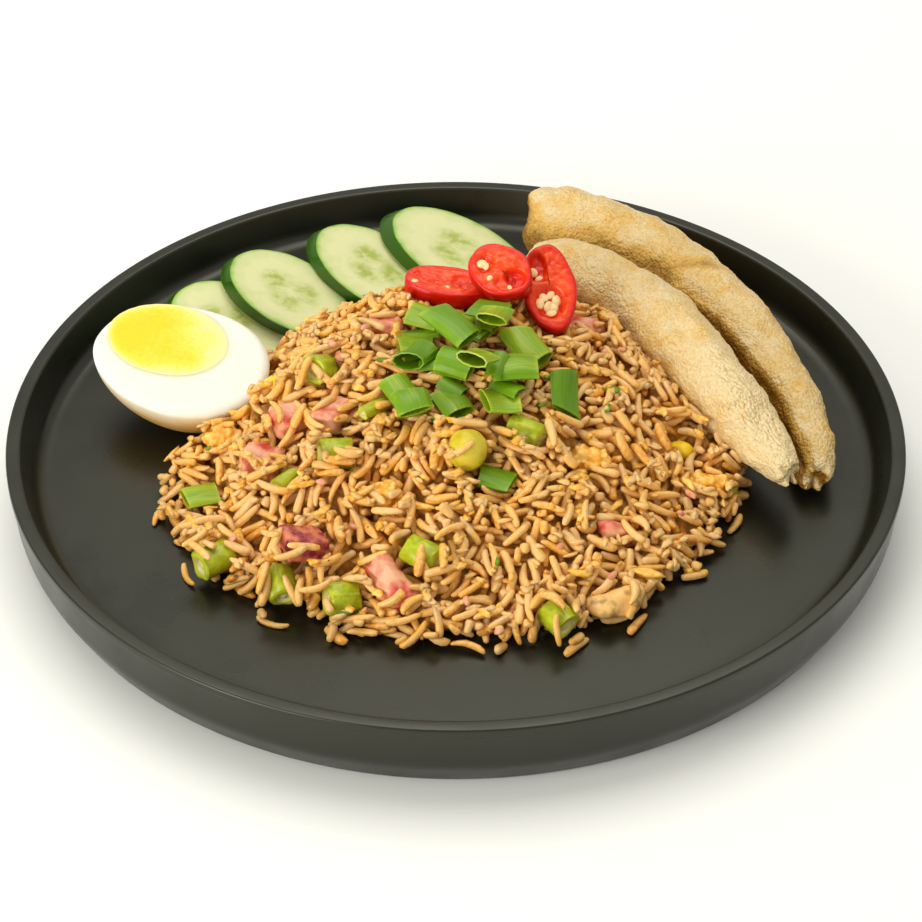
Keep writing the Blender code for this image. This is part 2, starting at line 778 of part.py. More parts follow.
def rice_surface(rng, trees):
    """Points and triangles of the heap's top, ridged like grains, and the number of outline points."""
    outline = heap_outline(rng, trees)
    ridges = ridge_segments(rng, outline)
    valleys = valley_points(rng, outline, ridges)
    flat = list(outline)
    edges = [(i, (i + 1) % OUTLINE_POINTS) for i in range(OUTLINE_POINTS)]
    heights = [FLOOR + HEAP_EDGE * 0.75 for _ in outline]
    for a, b, middle in ridges:
        rise = RIDGE_RISE * rng.uniform(0.3, 1.2)
        slant = rng.uniform(-0.0006, 0.0006)
        edges.append((len(flat), len(flat) + 1))
        for point, bend in ((a, slant), (b, -slant)):
            flat.append(point)
            heights.append(heap_height(point.x, point.y) + rise + bend)
    for point in valleys:
        flat.append(point)
        heights.append(heap_height(point.x, point.y) - RIDGE_RISE * rng.uniform(0.4, 1.0))
    found, _, triangles, origins, _, _ = delaunay_2d_cdt(flat, edges, [], 1, 1e-7)
    points = []
    for vert, sources in zip(found, origins):
        if sources:
            height = heights[sources[0]]
        else:
            height = heap_height(vert.x, vert.y)
        points.append(Vector((vert.x, vert.y, height)))
    rim = [k for k, sources in enumerate(origins) if sources and sources[0] < OUTLINE_POINTS]
    rim.sort(key=lambda k: origins[k][0])
    return points, [tuple(t) for t in triangles], rim


def press_down(points, triangles, shapes):
    """Lower the rice under each topping until its surface is clear of it."""
    lowest = FLOOR + GAP + 0.0009
    trees = [tree_of(shape) for shape in shapes]
    for _ in range(120):
        surface = BVHTree.FromPolygons(points, triangles)
        touched = set()
        for tree in trees:
            for face, _ in surface.overlap(tree):
                touched.update(triangles[face])
        moved = False
        for k in touched:
            if points[k].z > lowest:
                points[k].z = max(points[k].z - 0.0005, lowest)
                moved = True
        if not moved:
            break


def add_core(points, triangles, rim):
    """Close the heap's top with a side and a flat base."""
    bm = bmesh.new()
    top = [bm.verts.new(p) for p in points]
    for a, b, c in triangles:
        bm.faces.new((top[a], top[b], top[c]))
    base = [bm.verts.new((points[k].x, points[k].y, FLOOR + GAP)) for k in rim]
    middle = bm.verts.new((SUMMIT.x, SUMMIT.y, FLOOR + GAP))
    for i, k in enumerate(rim):
        j = (i + 1) % len(rim)
        bm.faces.new((top[k], base[i], base[j], top[rim[j]]))
        bm.faces.new((base[i], middle, base[j]))
    return add_object("rice_heap", bm, "rice", sharp=180)


def grain_shape(rng):
    """A long grain along X with pointed ends."""
    bm = bmesh.new()
    length = GRAIN_LENGTH * rng.uniform(0.85, 1.1)
    radius = GRAIN_WIDTH * rng.uniform(0.95, 1.15) / 2
    turn = rng.random()
    rings = [ring_at(length * end, radius, radius, GRAIN_SIDES, turn) for end in (-0.28, 0.28)]
    loft(bm, rings, dish=-length * 0.21)
    bmesh.ops.recalc_face_normals(bm, faces=bm.faces)
    return bm


def foot_place(rng, number, surface):
    """A place for a grain that leans on the heap's foot: its spot and its turn."""
    angle = 2 * math.pi * (number + rng.uniform(-0.4, 0.4)) / FOOT_GRAINS
    direction = Vector((math.cos(angle), math.sin(angle)))
    spot = SUMMIT + direction * (heap_reach(angle) - rng.uniform(-0.0002, 0.0022))
    height = FLOOR + GAP + GRAIN_WIDTH * 0.62 + rng.uniform(0, 0.0022)
    return spot.to_3d() + Vector((0, 0, height)), grain_turn(rng)


def loose_place(rng, number, surface):
    """A place for a grain half sunk in the heap's slope: its spot, and its turn along the slope."""
    angle = rng.uniform(0, 2 * math.pi)
    direction = Vector((math.cos(angle), math.sin(angle)))
    spot = SUMMIT + direction * (heap_reach(angle) - 0.007) * math.sqrt(rng.random())
    hit, normal, _, _ = surface.ray_cast(Vector((spot.x, spot.y, 0.1)), Vector((0, 0, -1)))
    if hit is None:
        return foot_place(rng, number, surface)
    lean = Vector((0, 0, 1)).rotation_difference(normal).to_matrix().to_4x4()
    return hit + Vector((0, 0, 0.0004)), lean @ grain_turn(rng)


def grain_turn(rng):
    yaw = rng.uniform(0, 2 * math.pi)
    pitch = rng.uniform(-0.2, 0.2)
    return Matrix.Rotation(yaw, 4, "Z") @ Matrix.Rotation(pitch, 4, "Y")


def grain_fits(bm, trees):
    """Whether a grain keeps inside the plate's floor and clear of every topping."""
    if any(vert.co.xy.length > FLOOR_RADIUS - 0.001 for vert in bm.verts):
        return False
    tree = BVHTree.FromBMesh(bm)
    if any(tree.overlap(other) for other in trees):
        return False
    first = next(iter(bm.verts)).co
    return not any(is_inside(other, first) for other in trees)


def scatter_grains(rng, core, shapes):
    """Whole grains on the heap, spread evenly, each skipped where it would meet a topping."""
    trees = [tree_of(shape) for shape in shapes]
    surface = tree_of(world_shape(core))
    collection = bpy.data.collections.new("grains")
    bpy.context.scene.collection.children.link(collection)
    places = []
    for number in range(FOOT_GRAINS + LOOSE_GRAINS):
        at_foot = number < FOOT_GRAINS
        find_place = foot_place if at_foot else loose_place
        spacing = FOOT_GRAIN_SPACING if at_foot else LOOSE_GRAIN_SPACING
        for _ in range(GRAIN_TRIES):
            spot, turn = find_place(rng, number, surface)
            if any((spot.xy - other).length < spacing for other in places):
                continue
            bm = grain_shape(rng)
            bm.transform(Matrix.Translation(spot) @ turn)
            sunk = FLOOR + GAP - min(vert.co.z for vert in bm.verts)
            bmesh.ops.translate(bm, verts=bm.verts, vec=(0, 0, max(sunk, 0.0)))
            if grain_fits(bm, trees):
                mesh = bpy.data.meshes.new(f"grain_{number}")
                bm.to_mesh(mesh)
                collection.objects.link(bpy.data.objects.new(f"grain_{number}", mesh))
                places.append(spot.xy)
                bm.free()
                break
            bm.free()
    return collection


def fuse(core, collection):
    """Join the grains to the core, then drop the grains and any scrap that touches nothing."""
    join = core.modifiers.new("grains", "BOOLEAN")
    join.operation = "UNION"
    join.operand_type = "COLLECTION"
    join.collection = collection
    join.solver = "EXACT"
    bpy.context.view_layer.update()
    graph = bpy.context.evaluated_depsgraph_get()
    joined = bpy.data.meshes.new_from_object(core.evaluated_get(graph))
    core.modifiers.clear()
    core.data = joined
    for obj in list(collection.objects):
        bpy.data.objects.remove(obj, do_unlink=True)
    bpy.data.collections.remove(collection)
    bm = bmesh.new()
    bm.from_mesh(joined)
    bmesh.ops.remove_doubles(bm, verts=bm.verts, dist=1e-6)
    keep_largest(bm)
    bm.to_mesh(joined)
    bm.free()


def keep_largest(bm):
    """Delete every connected body but the one with the most faces."""
    left = set(bm.faces)
    bodies = []
    while left:
        seed = left.pop()
        body = {seed}
        stack = [seed]
        while stack:
            for edge in stack.pop().edges:
                for face in edge.link_faces:
                    if face in left:
                        left.discard(face)
                        body.add(face)
                        stack.append(face)
        bodies.append(body)
    bodies.sort(key=len)
    for body in bodies[:-1]:
        bmesh.ops.delete(bm, geom=list(body), context="FACES")


def add_rice(on_plate, on_rice):
    """Heap the rice between what stands on the plate, and under what lies on the rice."""
    rng = random.Random(7)
    standing = [world_shape(obj, 1.5 * GAP) for obj in on_plate]
    shapes = standing + [world_shape(obj, 1.5 * GAP) for obj in on_rice]
    points, triangles, rim = rice_surface(rng, [tree_of(shape) for shape in standing])
    press_down(points, triangles, shapes)
    core = add_core(points, triangles, rim)
    collection = scatter_grains(rng, core, shapes)
    fuse(core, collection)
    return core


def main():
    clear_scene()
    noise.seed_set(NOISE_SEED)
    plate = add_plate()
    white, _ = add_egg()
    on_plate = [white]
    for index, row in enumerate(CUCUMBERS, 1):
        on_plate.append(add_cucumber(index, *row))
        lift_clear(on_plate[-1], [plate, *on_plate[:-1]])
    for index, row in enumerate(SAUSAGES, 1):
        on_plate.append(add_sausage(index, *row))
        lift_clear(on_plate[-1], [plate, *on_plate[:-1]])
    on_rice = []
    kinds = ((add_chilli, CHILLIES), (add_bean, BEANS), (add_ham, HAMS), (add_onion, ONIONS))
    for add, rows in (*kinds, (add_pea, PEAS), (add_lump, LUMPS)):
        for index, row in enumerate(rows, 1):
            on_rice.append(add(index, *row))
            lift_clear(on_rice[-1], [*on_plate, *on_rice[:-1]])
    add_rice(on_plate, on_rice)


main()
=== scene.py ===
"""Looks of a plate of nasi goreng: fried rice, half a boiled egg, cucumber, fried fish sausages and
garnish, each built over the solid that holds its place. All sizes are in metres.
"""

import math
import random

import bmesh
import bpy
import numpy as np
from bpy.props import FloatProperty, FloatVectorProperty, IntProperty, PointerProperty
from bpy.types import Operator, Panel, PropertyGroup
from mathutils import Matrix, Vector, noise
from mathutils.bvhtree import BVHTree


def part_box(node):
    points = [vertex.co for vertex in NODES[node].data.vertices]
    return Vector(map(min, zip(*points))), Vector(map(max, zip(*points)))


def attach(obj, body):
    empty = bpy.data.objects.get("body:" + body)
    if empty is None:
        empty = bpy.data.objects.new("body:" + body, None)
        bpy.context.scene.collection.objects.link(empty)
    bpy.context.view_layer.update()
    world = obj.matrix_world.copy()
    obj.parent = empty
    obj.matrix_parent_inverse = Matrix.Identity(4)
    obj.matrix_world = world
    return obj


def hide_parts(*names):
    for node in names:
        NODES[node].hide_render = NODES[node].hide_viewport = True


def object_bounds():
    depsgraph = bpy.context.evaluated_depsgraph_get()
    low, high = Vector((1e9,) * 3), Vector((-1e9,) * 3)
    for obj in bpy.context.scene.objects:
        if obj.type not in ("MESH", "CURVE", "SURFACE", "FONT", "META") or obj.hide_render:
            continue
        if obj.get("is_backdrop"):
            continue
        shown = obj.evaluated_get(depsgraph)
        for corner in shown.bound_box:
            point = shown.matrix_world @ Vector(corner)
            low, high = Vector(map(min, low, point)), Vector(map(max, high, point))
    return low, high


bl_info = {
    "name": "Plate of Nasi Goreng",
    "version": (1, 0, 0),
    "blender": (4, 5, 0),
    "location": "3D View > Sidebar > Nasi Goreng",
    "description": "Builds a plate of fried rice with egg, cucumber, fish sausages and garnish",
    "category": "Add Mesh",
}

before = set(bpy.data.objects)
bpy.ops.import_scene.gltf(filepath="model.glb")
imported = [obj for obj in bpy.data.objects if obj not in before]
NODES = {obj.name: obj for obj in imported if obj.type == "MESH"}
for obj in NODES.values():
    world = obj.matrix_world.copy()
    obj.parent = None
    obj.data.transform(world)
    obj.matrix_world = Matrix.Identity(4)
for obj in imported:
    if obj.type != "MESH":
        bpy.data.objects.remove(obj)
CAD_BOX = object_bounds()
MM = 0.001


# Settings


def srgb(code):
    """The linear colour of an sRGB hex value."""
    parts = [int(code[i : i + 2], 16) / 255 for i in (0, 2, 4)]
    return tuple(p / 12.92 if p <= 0.04045 else ((p + 0.055) / 1.055) ** 2.4 for p in parts)


def length(name, description, default):
    """A length in metres, shown in the panel."""
    return FloatProperty(
        name=name, description=description, default=default, min=0.0, unit="LENGTH", precision=4
    )


def colour(name, description, code):
    """A colour from its sRGB hex value, shown in the panel."""
    tone = srgb(code)
    return FloatVectorProperty(
        name=name, description=description, default=tone, size=3, min=0, max=1, subtype="COLOR"
    )


def amount(name, description, default, least=0):
    """A whole number, shown in the panel."""
    return IntProperty(name=name, description=description, default=default, min=least)


class PlateSettings(PropertyGroup):
    rim_width: length("Rim width", "Width of the flat top of the wall", 0.0042)
    wall_foot: length("Wall foot", "Radius where the wall meets the floor's fillet", 0.1273)
    floor_height: length("Floor height", "Height of the floor above the table", 0.0120)
    underside: length("Underside", "Height of the underside within the foot ring", 0.0082)
    foot_outer: length("Foot", "Outer radius of the foot ring", 0.1289)
    waist_radius: length("Waist radius", "Radius where the wall turns in to the foot", 0.1337)
    waist_height: length("Waist height", "Height where the wall turns in to the foot", 0.0092)
    body: colour("Melamine", "Body colour of the plate", "15160F")


class RiceSettings(PropertyGroup):
    grain_length: length("Grain length", "Length of a whole grain", 0.0102)
    grain_width: length("Grain width", "Width of a grain", 0.00248)
    layer: length("Layer", "Depth of loose grains over the core", 0.0058)
    rounds: amount("Rounds", "Most rounds of laying grains on the heap", 3000, 1)
    loose: amount("Loose grains", "Grains that lie on top", 150)
    over_toppings: amount("Covering grains", "Grains that lie over a topping's edge", 230)
    stray: amount("Stray grains", "Grains beside the heap", 60)
    pale: colour("Pale grain", "Colour of the least browned grains", "E8BE80")
    golden: colour("Golden grain", "Colour of most grains", "F6C06E")
    brown: colour("Brown grain", "Colour of the most browned grains", "DA942C")
    yellow: colour("Yellow oil", "Tint of the oil and egg on some grains", "FFEC8C")
    # The core's colour is partly packed rice and partly painted shade seen between the grains.
    core: colour("Core", "Colour deep between the grains", "E6A444")
    pepper: colour("Pepper", "Colour of the ground pepper", "2A1608")


class EggSettings(PropertyGroup):
    dome: length("Yolk dome", "Rise of the yolk above the cut white", 0.0004)
    bluntness: FloatProperty(
        name="Bluntness", description="How much wider the egg's blunt end is", default=0.09, min=0.0
    )
    white: colour("White", "Colour of the cooked white", "EEEADB")
    # The white's colour low on its outside is partly its own cream and partly painted shade.
    low_cream_and_shade: colour("Outer white", "Colour of the white low on its outside", "E0B464")
    stained: colour("Stained white", "Colour of the white beside the yolk", "FFF2AE")
    yolk_deep: colour("Deep yolk", "Colour of the moister part of the yolk", "FFD004")
    yolk: colour("Yolk", "Colour of the yolk", "FFDC44")
    yolk_pale: colour("Pale yolk", "Colour of the drier part of the yolk", "FFEA98")


class CucumberSettings(PropertyGroup):
    flesh: colour("Flesh", "Colour of the flesh", "DFDFA8")
    seeds: colour("Seeds", "Colour of the wet middle", "A6B64C")
    edge: colour("Edge", "Colour of the flesh just under the skin", "7DB01C")
    skin: colour("Skin", "Colour of the skin", "2E5600")


class SausageSettings(PropertyGroup):
    lumps: length("Lumps", "Height of the broad lumps", 0.0011)
    blisters: length("Blisters", "Height of the fine blisters", 0.00020)
    cracks: length("Cracks", "Depth of the cracks in the bare dough", 0.0005)
    tear: length("Torn end", "How far the torn end's flakes stand apart", 0.0022)
    crust: colour("Crust", "Colour of the fried crust", "DCAE52")
    pale: colour("Pale crust", "Colour where the crust is thin", "E4CB98")
    # The brown crust colour also serves as the painted shade on the sausages.
    brown: colour("Brown crust", "Colour where the crust is browned", "94661F")


class GarnishSettings(PropertyGroup):
    scraps: amount("Scraps", "Scraps of leaf between the lengths of spring onion", 30)
    onion_wall: length("Spring onion wall", "Thickness of the spring onion's wall", 0.00045)
    chilli_wall: length("Chilli wall", "Width of the ring of flesh", 0.0026)
    chilli_skin: colour("Chilli skin", "Colour of the chilli's skin", "C40C03")
    chilli_rim: colour("Chilli rim", "Colour of the chilli's cut wall", "DC1E06")
    chilli_flesh: colour("Chilli flesh", "Colour of the chilli's inside", "F0480E")
    chilli_vein: colour("Chilli vein", "Colour of the paler veins inside", "F57A38")
    chilli_seed: colour("Chilli seed", "Colour of the chilli's seeds", "F8CE98")
    onion_pale: colour("Pale spring onion", "Colour of its paler veins and cut edges", "AEBD2D")
    onion: colour("Spring onion", "Main colour of the spring onion", "6E980A")
    onion_dark: colour("Dark spring onion", "Colour of its darker leaves", "447004")
    bean: colour("Bean", "Colour of the green bean's skin", "B2BC22")
    bean_rim: colour("Bean rim", "Colour of the bean's cut wall", "C6CE46")
    bean_flesh: colour("Bean flesh", "Colour of the seed chamber", "DCD488")
    bean_pith: colour("Bean pith", "Colour of the young seed in it", "E8D29A")
    pea: colour("Pea", "Colour of the pea", "BEA804")
    pea_pale: colour("Pale pea", "Colour of the pea's worn side", "DCC83E")
    ham_edge: colour("Ham edge", "Colour of the ham's cured edge", "CC3A34")
    ham_rind: colour("Ham rind", "Colour of the darkest piece of ham", "8A1838")
    ham: colour("Ham", "Colour of the ham", "DC8060")
    ham_pale: colour("Pale ham", "Colour of the ham's paler meat", "ECB08A")
    egg_bit: colour("Scrambled egg", "Colour of the scrambled egg", "F0A426")
    egg_bit_pale: colour("Pale scrambled egg", "Colour of its paler folds", "F8CC6C")
    corn: colour("Sweetcorn", "Colour of the sweetcorn", "F6CE2A")
    brown_bit: colour("Browned piece", "Colour of the browned piece", "F2C074")


class StageSettings(PropertyGroup):
    distance: length("Camera distance", "From the camera to the middle of the plate", 0.8)
    elevation: FloatProperty(
        name="Camera elevation",
        description="Angle of the camera above the table",
        default=math.radians(37.285),
        subtype="ANGLE",
        unit="ROTATION",
    )
    lens: FloatProperty(
        name="Lens", description="Focal length of the camera", default=103.24, unit="CAMERA"
    )
    table: colour("Table", "Colour of the table", "F7F7F5")


SETTINGS = {
    "nasi_plate": PlateSettings,
    "nasi_rice": RiceSettings,
    "nasi_egg": EggSettings,
    "nasi_cucumber": CucumberSettings,
    "nasi_sausage": SausageSettings,
    "nasi_garnish": GarnishSettings,
    "nasi_stage": StageSettings,
}


# Materials


def tint(tone, factor):
    """A darker or lighter tone of a colour, no brighter than white."""
    return tuple(min(1.0, part * factor) for part in tone)


def between(tone, other, share):
    """The colour that lies a share of the way from one colour to another."""
    return tuple(a * (1 - share) + b * share for a, b in zip(tone, other))


class Look:
    """A material in the making: each method adds a node to it and returns what comes out of that
    node. Patterns have a size in metres."""

    def __init__(self, name, roughness=0.5, glow=(), **inputs):
        """Set the shader's roughness, the light that spreads below its surface, as a weight, a
        reach for each colour and a scale in millimetres, and its other inputs."""
        self.made = bpy.data.materials.new(name)
        self.made.use_nodes = True
        self.shader = self.made.node_tree.nodes["Principled BSDF"]
        inputs["Roughness"] = roughness
        if glow:
            names = ("Subsurface_Weight", "Subsurface_Radius", "Subsurface_Scale")
            inputs.update(zip(names, (glow[0], glow[1], glow[2] * MM)))
        self.connect(self.shader, {k.replace("_", " "): v for k, v in inputs.items()})
        self.where = self.node("TexCoord").outputs["Object"]

    def connect(self, node, inputs):
        """Give a node's inputs their values: a socket is linked, and anything else is set."""
        for name, value in inputs.items():
            socket = node.inputs[name]
            if isinstance(value, bpy.types.NodeSocket):
                self.made.node_tree.links.new(value, socket)
            elif socket.type == "RGBA":
                socket.default_value = (*value, 1)
            else:
                socket.default_value = value

    def node(self, kind, inputs=None, **settings):
        node = self.made.node_tree.nodes.new("ShaderNode" + kind)
        for name, value in settings.items():
            setattr(node, name, value)
        self.connect(node, inputs or {})
        return node

    def noise(self, size, detail, **inputs):
        inputs = {"Vector": self.where, "Scale": 1 / size, "Detail": detail, **inputs}
        return self.node("TexNoise", inputs).outputs["Fac"]

    def cells(self, size, inputs=None, **settings):
        inputs = {"Vector": self.where, "Scale": 1 / size, **(inputs or {})}
        return self.node("TexVoronoi", inputs, **settings).outputs["Distance"]

    def attribute(self, name):
        return self.node("Attribute", attribute_name=name).outputs["Fac"]

    def times_plus(self, value, factor, more):
        inputs = {0: value, 1: factor, 2: more}
        return self.node("Math", inputs, operation="MULTIPLY_ADD").outputs[0]

    def times(self, value, factor):
        return self.node("Math", {0: value, 1: factor}, operation="MULTIPLY").outputs[0]

    def mapped(self, value, low, high, to_low, to_high):
        ends = {"From Min": low, "From Max": high, "To Min": to_low, "To Max": to_high}
        return self.node("MapRange", {"Value": value, **ends}).outputs["Result"]

    def ramp(self, factor, *stops):
        """Colours along a value, given as places and tones in order."""
        node = self.node("ValToRGB", {"Fac": factor})
        ends = node.color_ramp.elements
        for i, (place, tone) in enumerate((stops[0], stops[-1], *stops[1:-1])):
            stop = ends[i] if i < 2 else ends.new(place)
            stop.position = place
            stop.color = (*tone, 1)
        return node.outputs["Color"]

    def mix(self, share, tone, other, blend="MIX"):
        inputs = {0: share, 6: tone, 7: other}
        return self.node("Mix", inputs, data_type="RGBA", blend_type=blend).outputs[2]

    def bump(self, height, strength, distance, inputs=None, **settings):
        inputs = {"Height": height, "Strength": strength, "Distance": distance, **(inputs or {})}
        return self.node("Bump", inputs, **settings).outputs["Normal"]

    def finish(self, tone, normal, **inputs):
        self.connect(self.shader, {"Base Color": tone, "Normal": normal, **inputs})
        return self.made


def melamine(settings):
    """Matt black moulded melamine: a faint olive cast, a fine grained gloss, a few oily smears."""
    look = Look("moulded_melamine", IOR=1.5, Specular_Tint=(1.0, 1.0, 0.84))
    grain = look.noise(0.7 * MM, 2)
    body = look.ramp(grain, (0.3, settings.body), (0.75, tint(settings.body, 1.25)))
    gloss = look.mapped(look.noise(22 * MM, 4), 0.35, 0.7, 0.26, 0.40)
    return look.finish(body, look.bump(grain, 0.15, 0.1 * MM), Roughness=gloss)


def fried_rice(settings):
    """Cooked rice fried in oil and soy: each grain has its own browning, with painted shade on grains
    deep in the heap and a painted highlight on each grain's top, and a thin moist gloss.
    """
    glow = (0.35, (1.0, 0.55, 0.25), 1.2)
    look = Look("fried_rice", 0.27, glow, IOR=1.4, Coat_Weight=0.3, Coat_Roughness=0.14)
    stain = look.noise(1.4 * MM, 4, Roughness=0.65)
    shade = look.times_plus(stain, 1.15, look.attribute("tone"))
    skin = look.ramp(
        shade, (0.16, settings.brown), (0.48, settings.golden), (0.95, settings.pale)
    )
    oily = look.mapped(look.noise(8 * MM, 3), 0.45, 0.65, 0.0, 0.7)
    coated = look.mix(oily, skin, settings.yellow, "MULTIPLY")
    return look.finish(coated, look.bump(stain, 1.0, 0.5 * MM))


def rice_core(settings):
    """Packed rice deep in the heap: a brown that is partly oil and soy and partly painted shade
    between the grains, with painted shade darkening the creases between its lumps.
    """
    look = Look("packed_rice", 0.6, IOR=1.4)
    patches = look.cells(2.4 * MM)
    # Painted shade: the cells' edges, the creases between the lumps, are darkened to two fifths of
    # the core's colour.
    skin = look.ramp(patches, (0.1, settings.core), (0.9, tint(settings.core, 0.4)))
    return look.finish(skin, look.bump(patches, 1.0, 1.0 * MM, invert=True))


def cooked_white(settings):
    """Boiled egg white: smooth, dense and translucent, and low on its outside turning cream and
    darker, which is partly its own tint and partly painted shade.
    """
    look = Look("cooked_egg_white", 0.3, (0.7, (1.0, 0.8, 0.5), 9), IOR=1.36)
    cloud = look.noise(9 * MM, 3)
    # Painted shade: the lower a point lies on the outside, the more it takes the darker cream colour.
    shade = look.times_plus(cloud, 0.25, look.attribute("lowness"))
    skin = look.ramp(shade, (0.20, settings.white), (0.56, settings.low_cream_and_shade))
    tinted = look.mix(look.attribute("yolk_stain"), skin, settings.stained)
    return look.finish(tinted, look.bump(cloud, 0.15, 0.4 * MM))


def cooked_yolk(settings):
    """Hard boiled yolk: fine crumbs, paler towards its rim and towards one side."""
    look = Look("cooked_egg_yolk", 0.5, (0.3, (1.0, 0.7, 0.2), 1.5), IOR=1.4)
    crumb = look.noise(1.4 * MM, 4)
    faded = look.times_plus(look.attribute("rim"), 0.35, look.noise(24 * MM, 2))
    skin = look.ramp(
        look.times_plus(crumb, 0.35, faded),
        (0.50, settings.yolk_deep),
        (0.70, settings.yolk),
        (0.96, settings.yolk_pale),
    )
    faint = look.mix(look.attribute("edge"), skin, settings.stained)
    return look.finish(faint, look.bump(crumb, 0.3, 0.25 * MM))


def sliced_cucumber(settings):
    """Freshly cut cucumber: wet pale flesh, a translucent seeded middle and a thin dark skin."""
    look = Look("sliced_cucumber", 0.3, (0.4, (0.8, 1.0, 0.4), 2), IOR=1.36)
    cloud = look.noise(5 * MM, 4)
    uneven = look.mapped(cloud, 0.3, 0.7, 0.6, 1.5)
    ring = look.ramp(
        look.times(uneven, look.attribute("depth")),
        (0.005, settings.skin),
        (0.018, settings.edge),
        (0.05, between(settings.edge, settings.flesh, 0.4)),
        (0.12, between(settings.edge, settings.flesh, 0.8)),
        (0.36, settings.flesh),
    )
    spots = look.mapped(look.noise(3.2 * MM, 3), 0.42, 0.58, 0.95, 0.40)
    middle = look.mix(look.times(look.attribute("seed"), spots), ring, settings.seeds)
    return look.finish(middle, look.bump(cloud, 0.3, 0.3 * MM))


def fried_crust(settings):
    """Fried fish dough: a dry, blistered crust, pale where thin and brown where fried longest, and
    darker towards brown where painted shade lies.
    """
    look = Look("fried_fish_dough", 0.36, (0.08, (1.0, 0.6, 0.3), 0.6), IOR=1.45)
    speck = look.noise(0.8 * MM, 3)
    mixed = look.times_plus(look.noise(7 * MM, 5), 0.4, look.attribute("browning_and_shade"))
    skin = look.ramp(
        look.times_plus(speck, 0.36, mixed),
        (0.20, settings.pale),
        (0.50, settings.crust),
        (0.92, settings.brown),
    )
    grit = look.cells(0.9 * MM, {"Smoothness": 0.4}, feature="SMOOTH_F1")
    blisters = look.bump(grit, 1.0, 0.5 * MM, invert=True)
    return look.finish(skin, look.bump(speck, 0.7, 0.3 * MM, {"Normal": blisters}))


def moist_food(name, tones, patch_size, bump_height, roughness=0.35, attribute=None, glow=0.2):
    """Moist cut food: its tones follow soft patches of a size in millimetres, or a point attribute
    with some patches."""
    look = Look(name, roughness, (glow, (1.0, 0.6, 0.3), 0.8), IOR=1.4)
    patch = look.noise(patch_size * MM, 4)
    factor = look.times_plus(patch, 0.24, look.attribute(attribute)) if attribute else patch
    return look.finish(look.ramp(factor, *tones), look.bump(patch, 0.5, bump_height * MM))


def onion_leaf(settings):
    """Spring onion leaf: waxy, finely veined, yellow green to deep green, and pale where cut."""
    look = Look("spring_onion_leaf", 0.36, (0.12, (0.6, 1.0, 0.3), 0.4), IOR=1.4)
    look.where = look.node("UVMap", uv_map="leaf").outputs["UV"]
    veins = look.noise(1.0, 3)
    skin = look.ramp(
        look.times_plus(veins, 0.45, look.attribute("shade")),
        (0.05, settings.onion_pale),
        (0.35, settings.onion),
        (0.85, settings.onion_dark),
    )
    return look.finish(skin, look.bump(veins, 0.5, 0.2 * MM))


# Reading the solids


def like(kind):
    """The names of the solids of one kind, in order."""
    names = [n for n in NODES if n.rstrip("0123456789") == kind + "_"]
    return sorted(names, key=lambda n: int(n.rsplit("_", 1)[1]))


def solid_shape(name):
    """A merged copy of a solid's mesh."""
    bm = bmesh.new()
    bm.from_mesh(NODES[name].data)
    bmesh.ops.remove_doubles(bm, verts=bm.verts, dist=0.002 * MM)
    bm.normal_update()
    return bm


def points_of(bm):
    """A shape's points as an array."""
    return np.array([v.co for v in bm.verts])


def frame_matrix(x, z, origin):
    """The matrix of a frame, given its X and Z directions and its origin."""
    y = np.cross(z, x)
    matrix = Matrix.Identity(4)
    for column, axis in enumerate((x, y, z, origin)):
        for row in range(3):
            matrix[row][column] = axis[row]
    return matrix


def main_axes(name):
    """A solid's own frame, X along its longest direction and Z its shortest, and half its sizes."""
    bm = solid_shape(name)
    points = points_of(bm)
    bm.free()
    middle = points.mean(axis=0)
    _, vectors = np.linalg.eigh(np.cov((points - middle).T))
    x, z = vectors[:, 2], vectors[:, 0]
    x = x if x @ (0.3, 1.0, 0.1) > 0 else -x
    z = z if z[2] > 0 else -z
    turn = np.stack([x, np.cross(z, x), z], axis=1)
    local = (points - middle) @ turn
    low, high = local.min(axis=0), local.max(axis=0)
    middle = middle + turn @ ((low + high) / 2)
    return frame_matrix(x, z, middle), (high - low) / 2


def cut_face(name):
    """The largest flat face on a solid's upper side: a frame on it, and its points and then all the
    solid's points in that frame."""
    bm = solid_shape(name)
    normals = np.array([f.normal for f in bm.faces])
    areas = np.array([f.calc_area() for f in bm.faces])
    alike = (normals @ normals.T) > math.cos(math.radians(3))
    weight = (alike @ areas) * (normals[:, 2] > 0.3)
    best = int(weight.argmax())
    bm.faces.ensure_lookup_table()
    flat = {v for i in np.flatnonzero(alike[best]) for v in bm.faces[i].verts}
    face = np.array([v.co for v in flat])
    every = points_of(bm)
    normal = normals[best]
    bm.free()
    gaps = np.linalg.norm(face[:, None] - face[None], axis=2)
    a, b = np.unravel_index(gaps.argmax(), gaps.shape)
    x = face[b] - face[a]
    x /= np.linalg.norm(x)
    x = x if x[0] > 0 else -x
    matrix = frame_matrix(x, normal, (face[a] + face[b]) / 2)
    back = np.array(matrix.inverted())
    return matrix, face @ back[:3, :3].T + back[:3, 3], every @ back[:3, :3].T + back[:3, 3]


# Making pieces


def add_piece(name, shape, look, slot, nodes=(), sharp=None):
    """Turn a bmesh or a mesh into a finished piece that stands for its solids."""
    if isinstance(shape, bmesh.types.BMesh):
        bmesh.ops.recalc_face_normals(shape, faces=shape.faces)
        mesh = bpy.data.meshes.new(name)
        shape.to_mesh(mesh)
        shape.free()
    else:
        mesh = shape
    mesh.shade_smooth()
    if sharp is not None:
        mesh.set_sharp_from_angle(angle=math.radians(sharp))
    mesh.materials.clear()
    mesh.materials.append(look)
    obj = bpy.data.objects.new(name, mesh)
    bpy.context.scene.collection.objects.link(obj)
    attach(obj, "root")
    if nodes:
        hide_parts(*nodes)
    return obj


def unit(value):
    """A value held between 0 and 1."""
    return min(1.0, max(0.0, value))


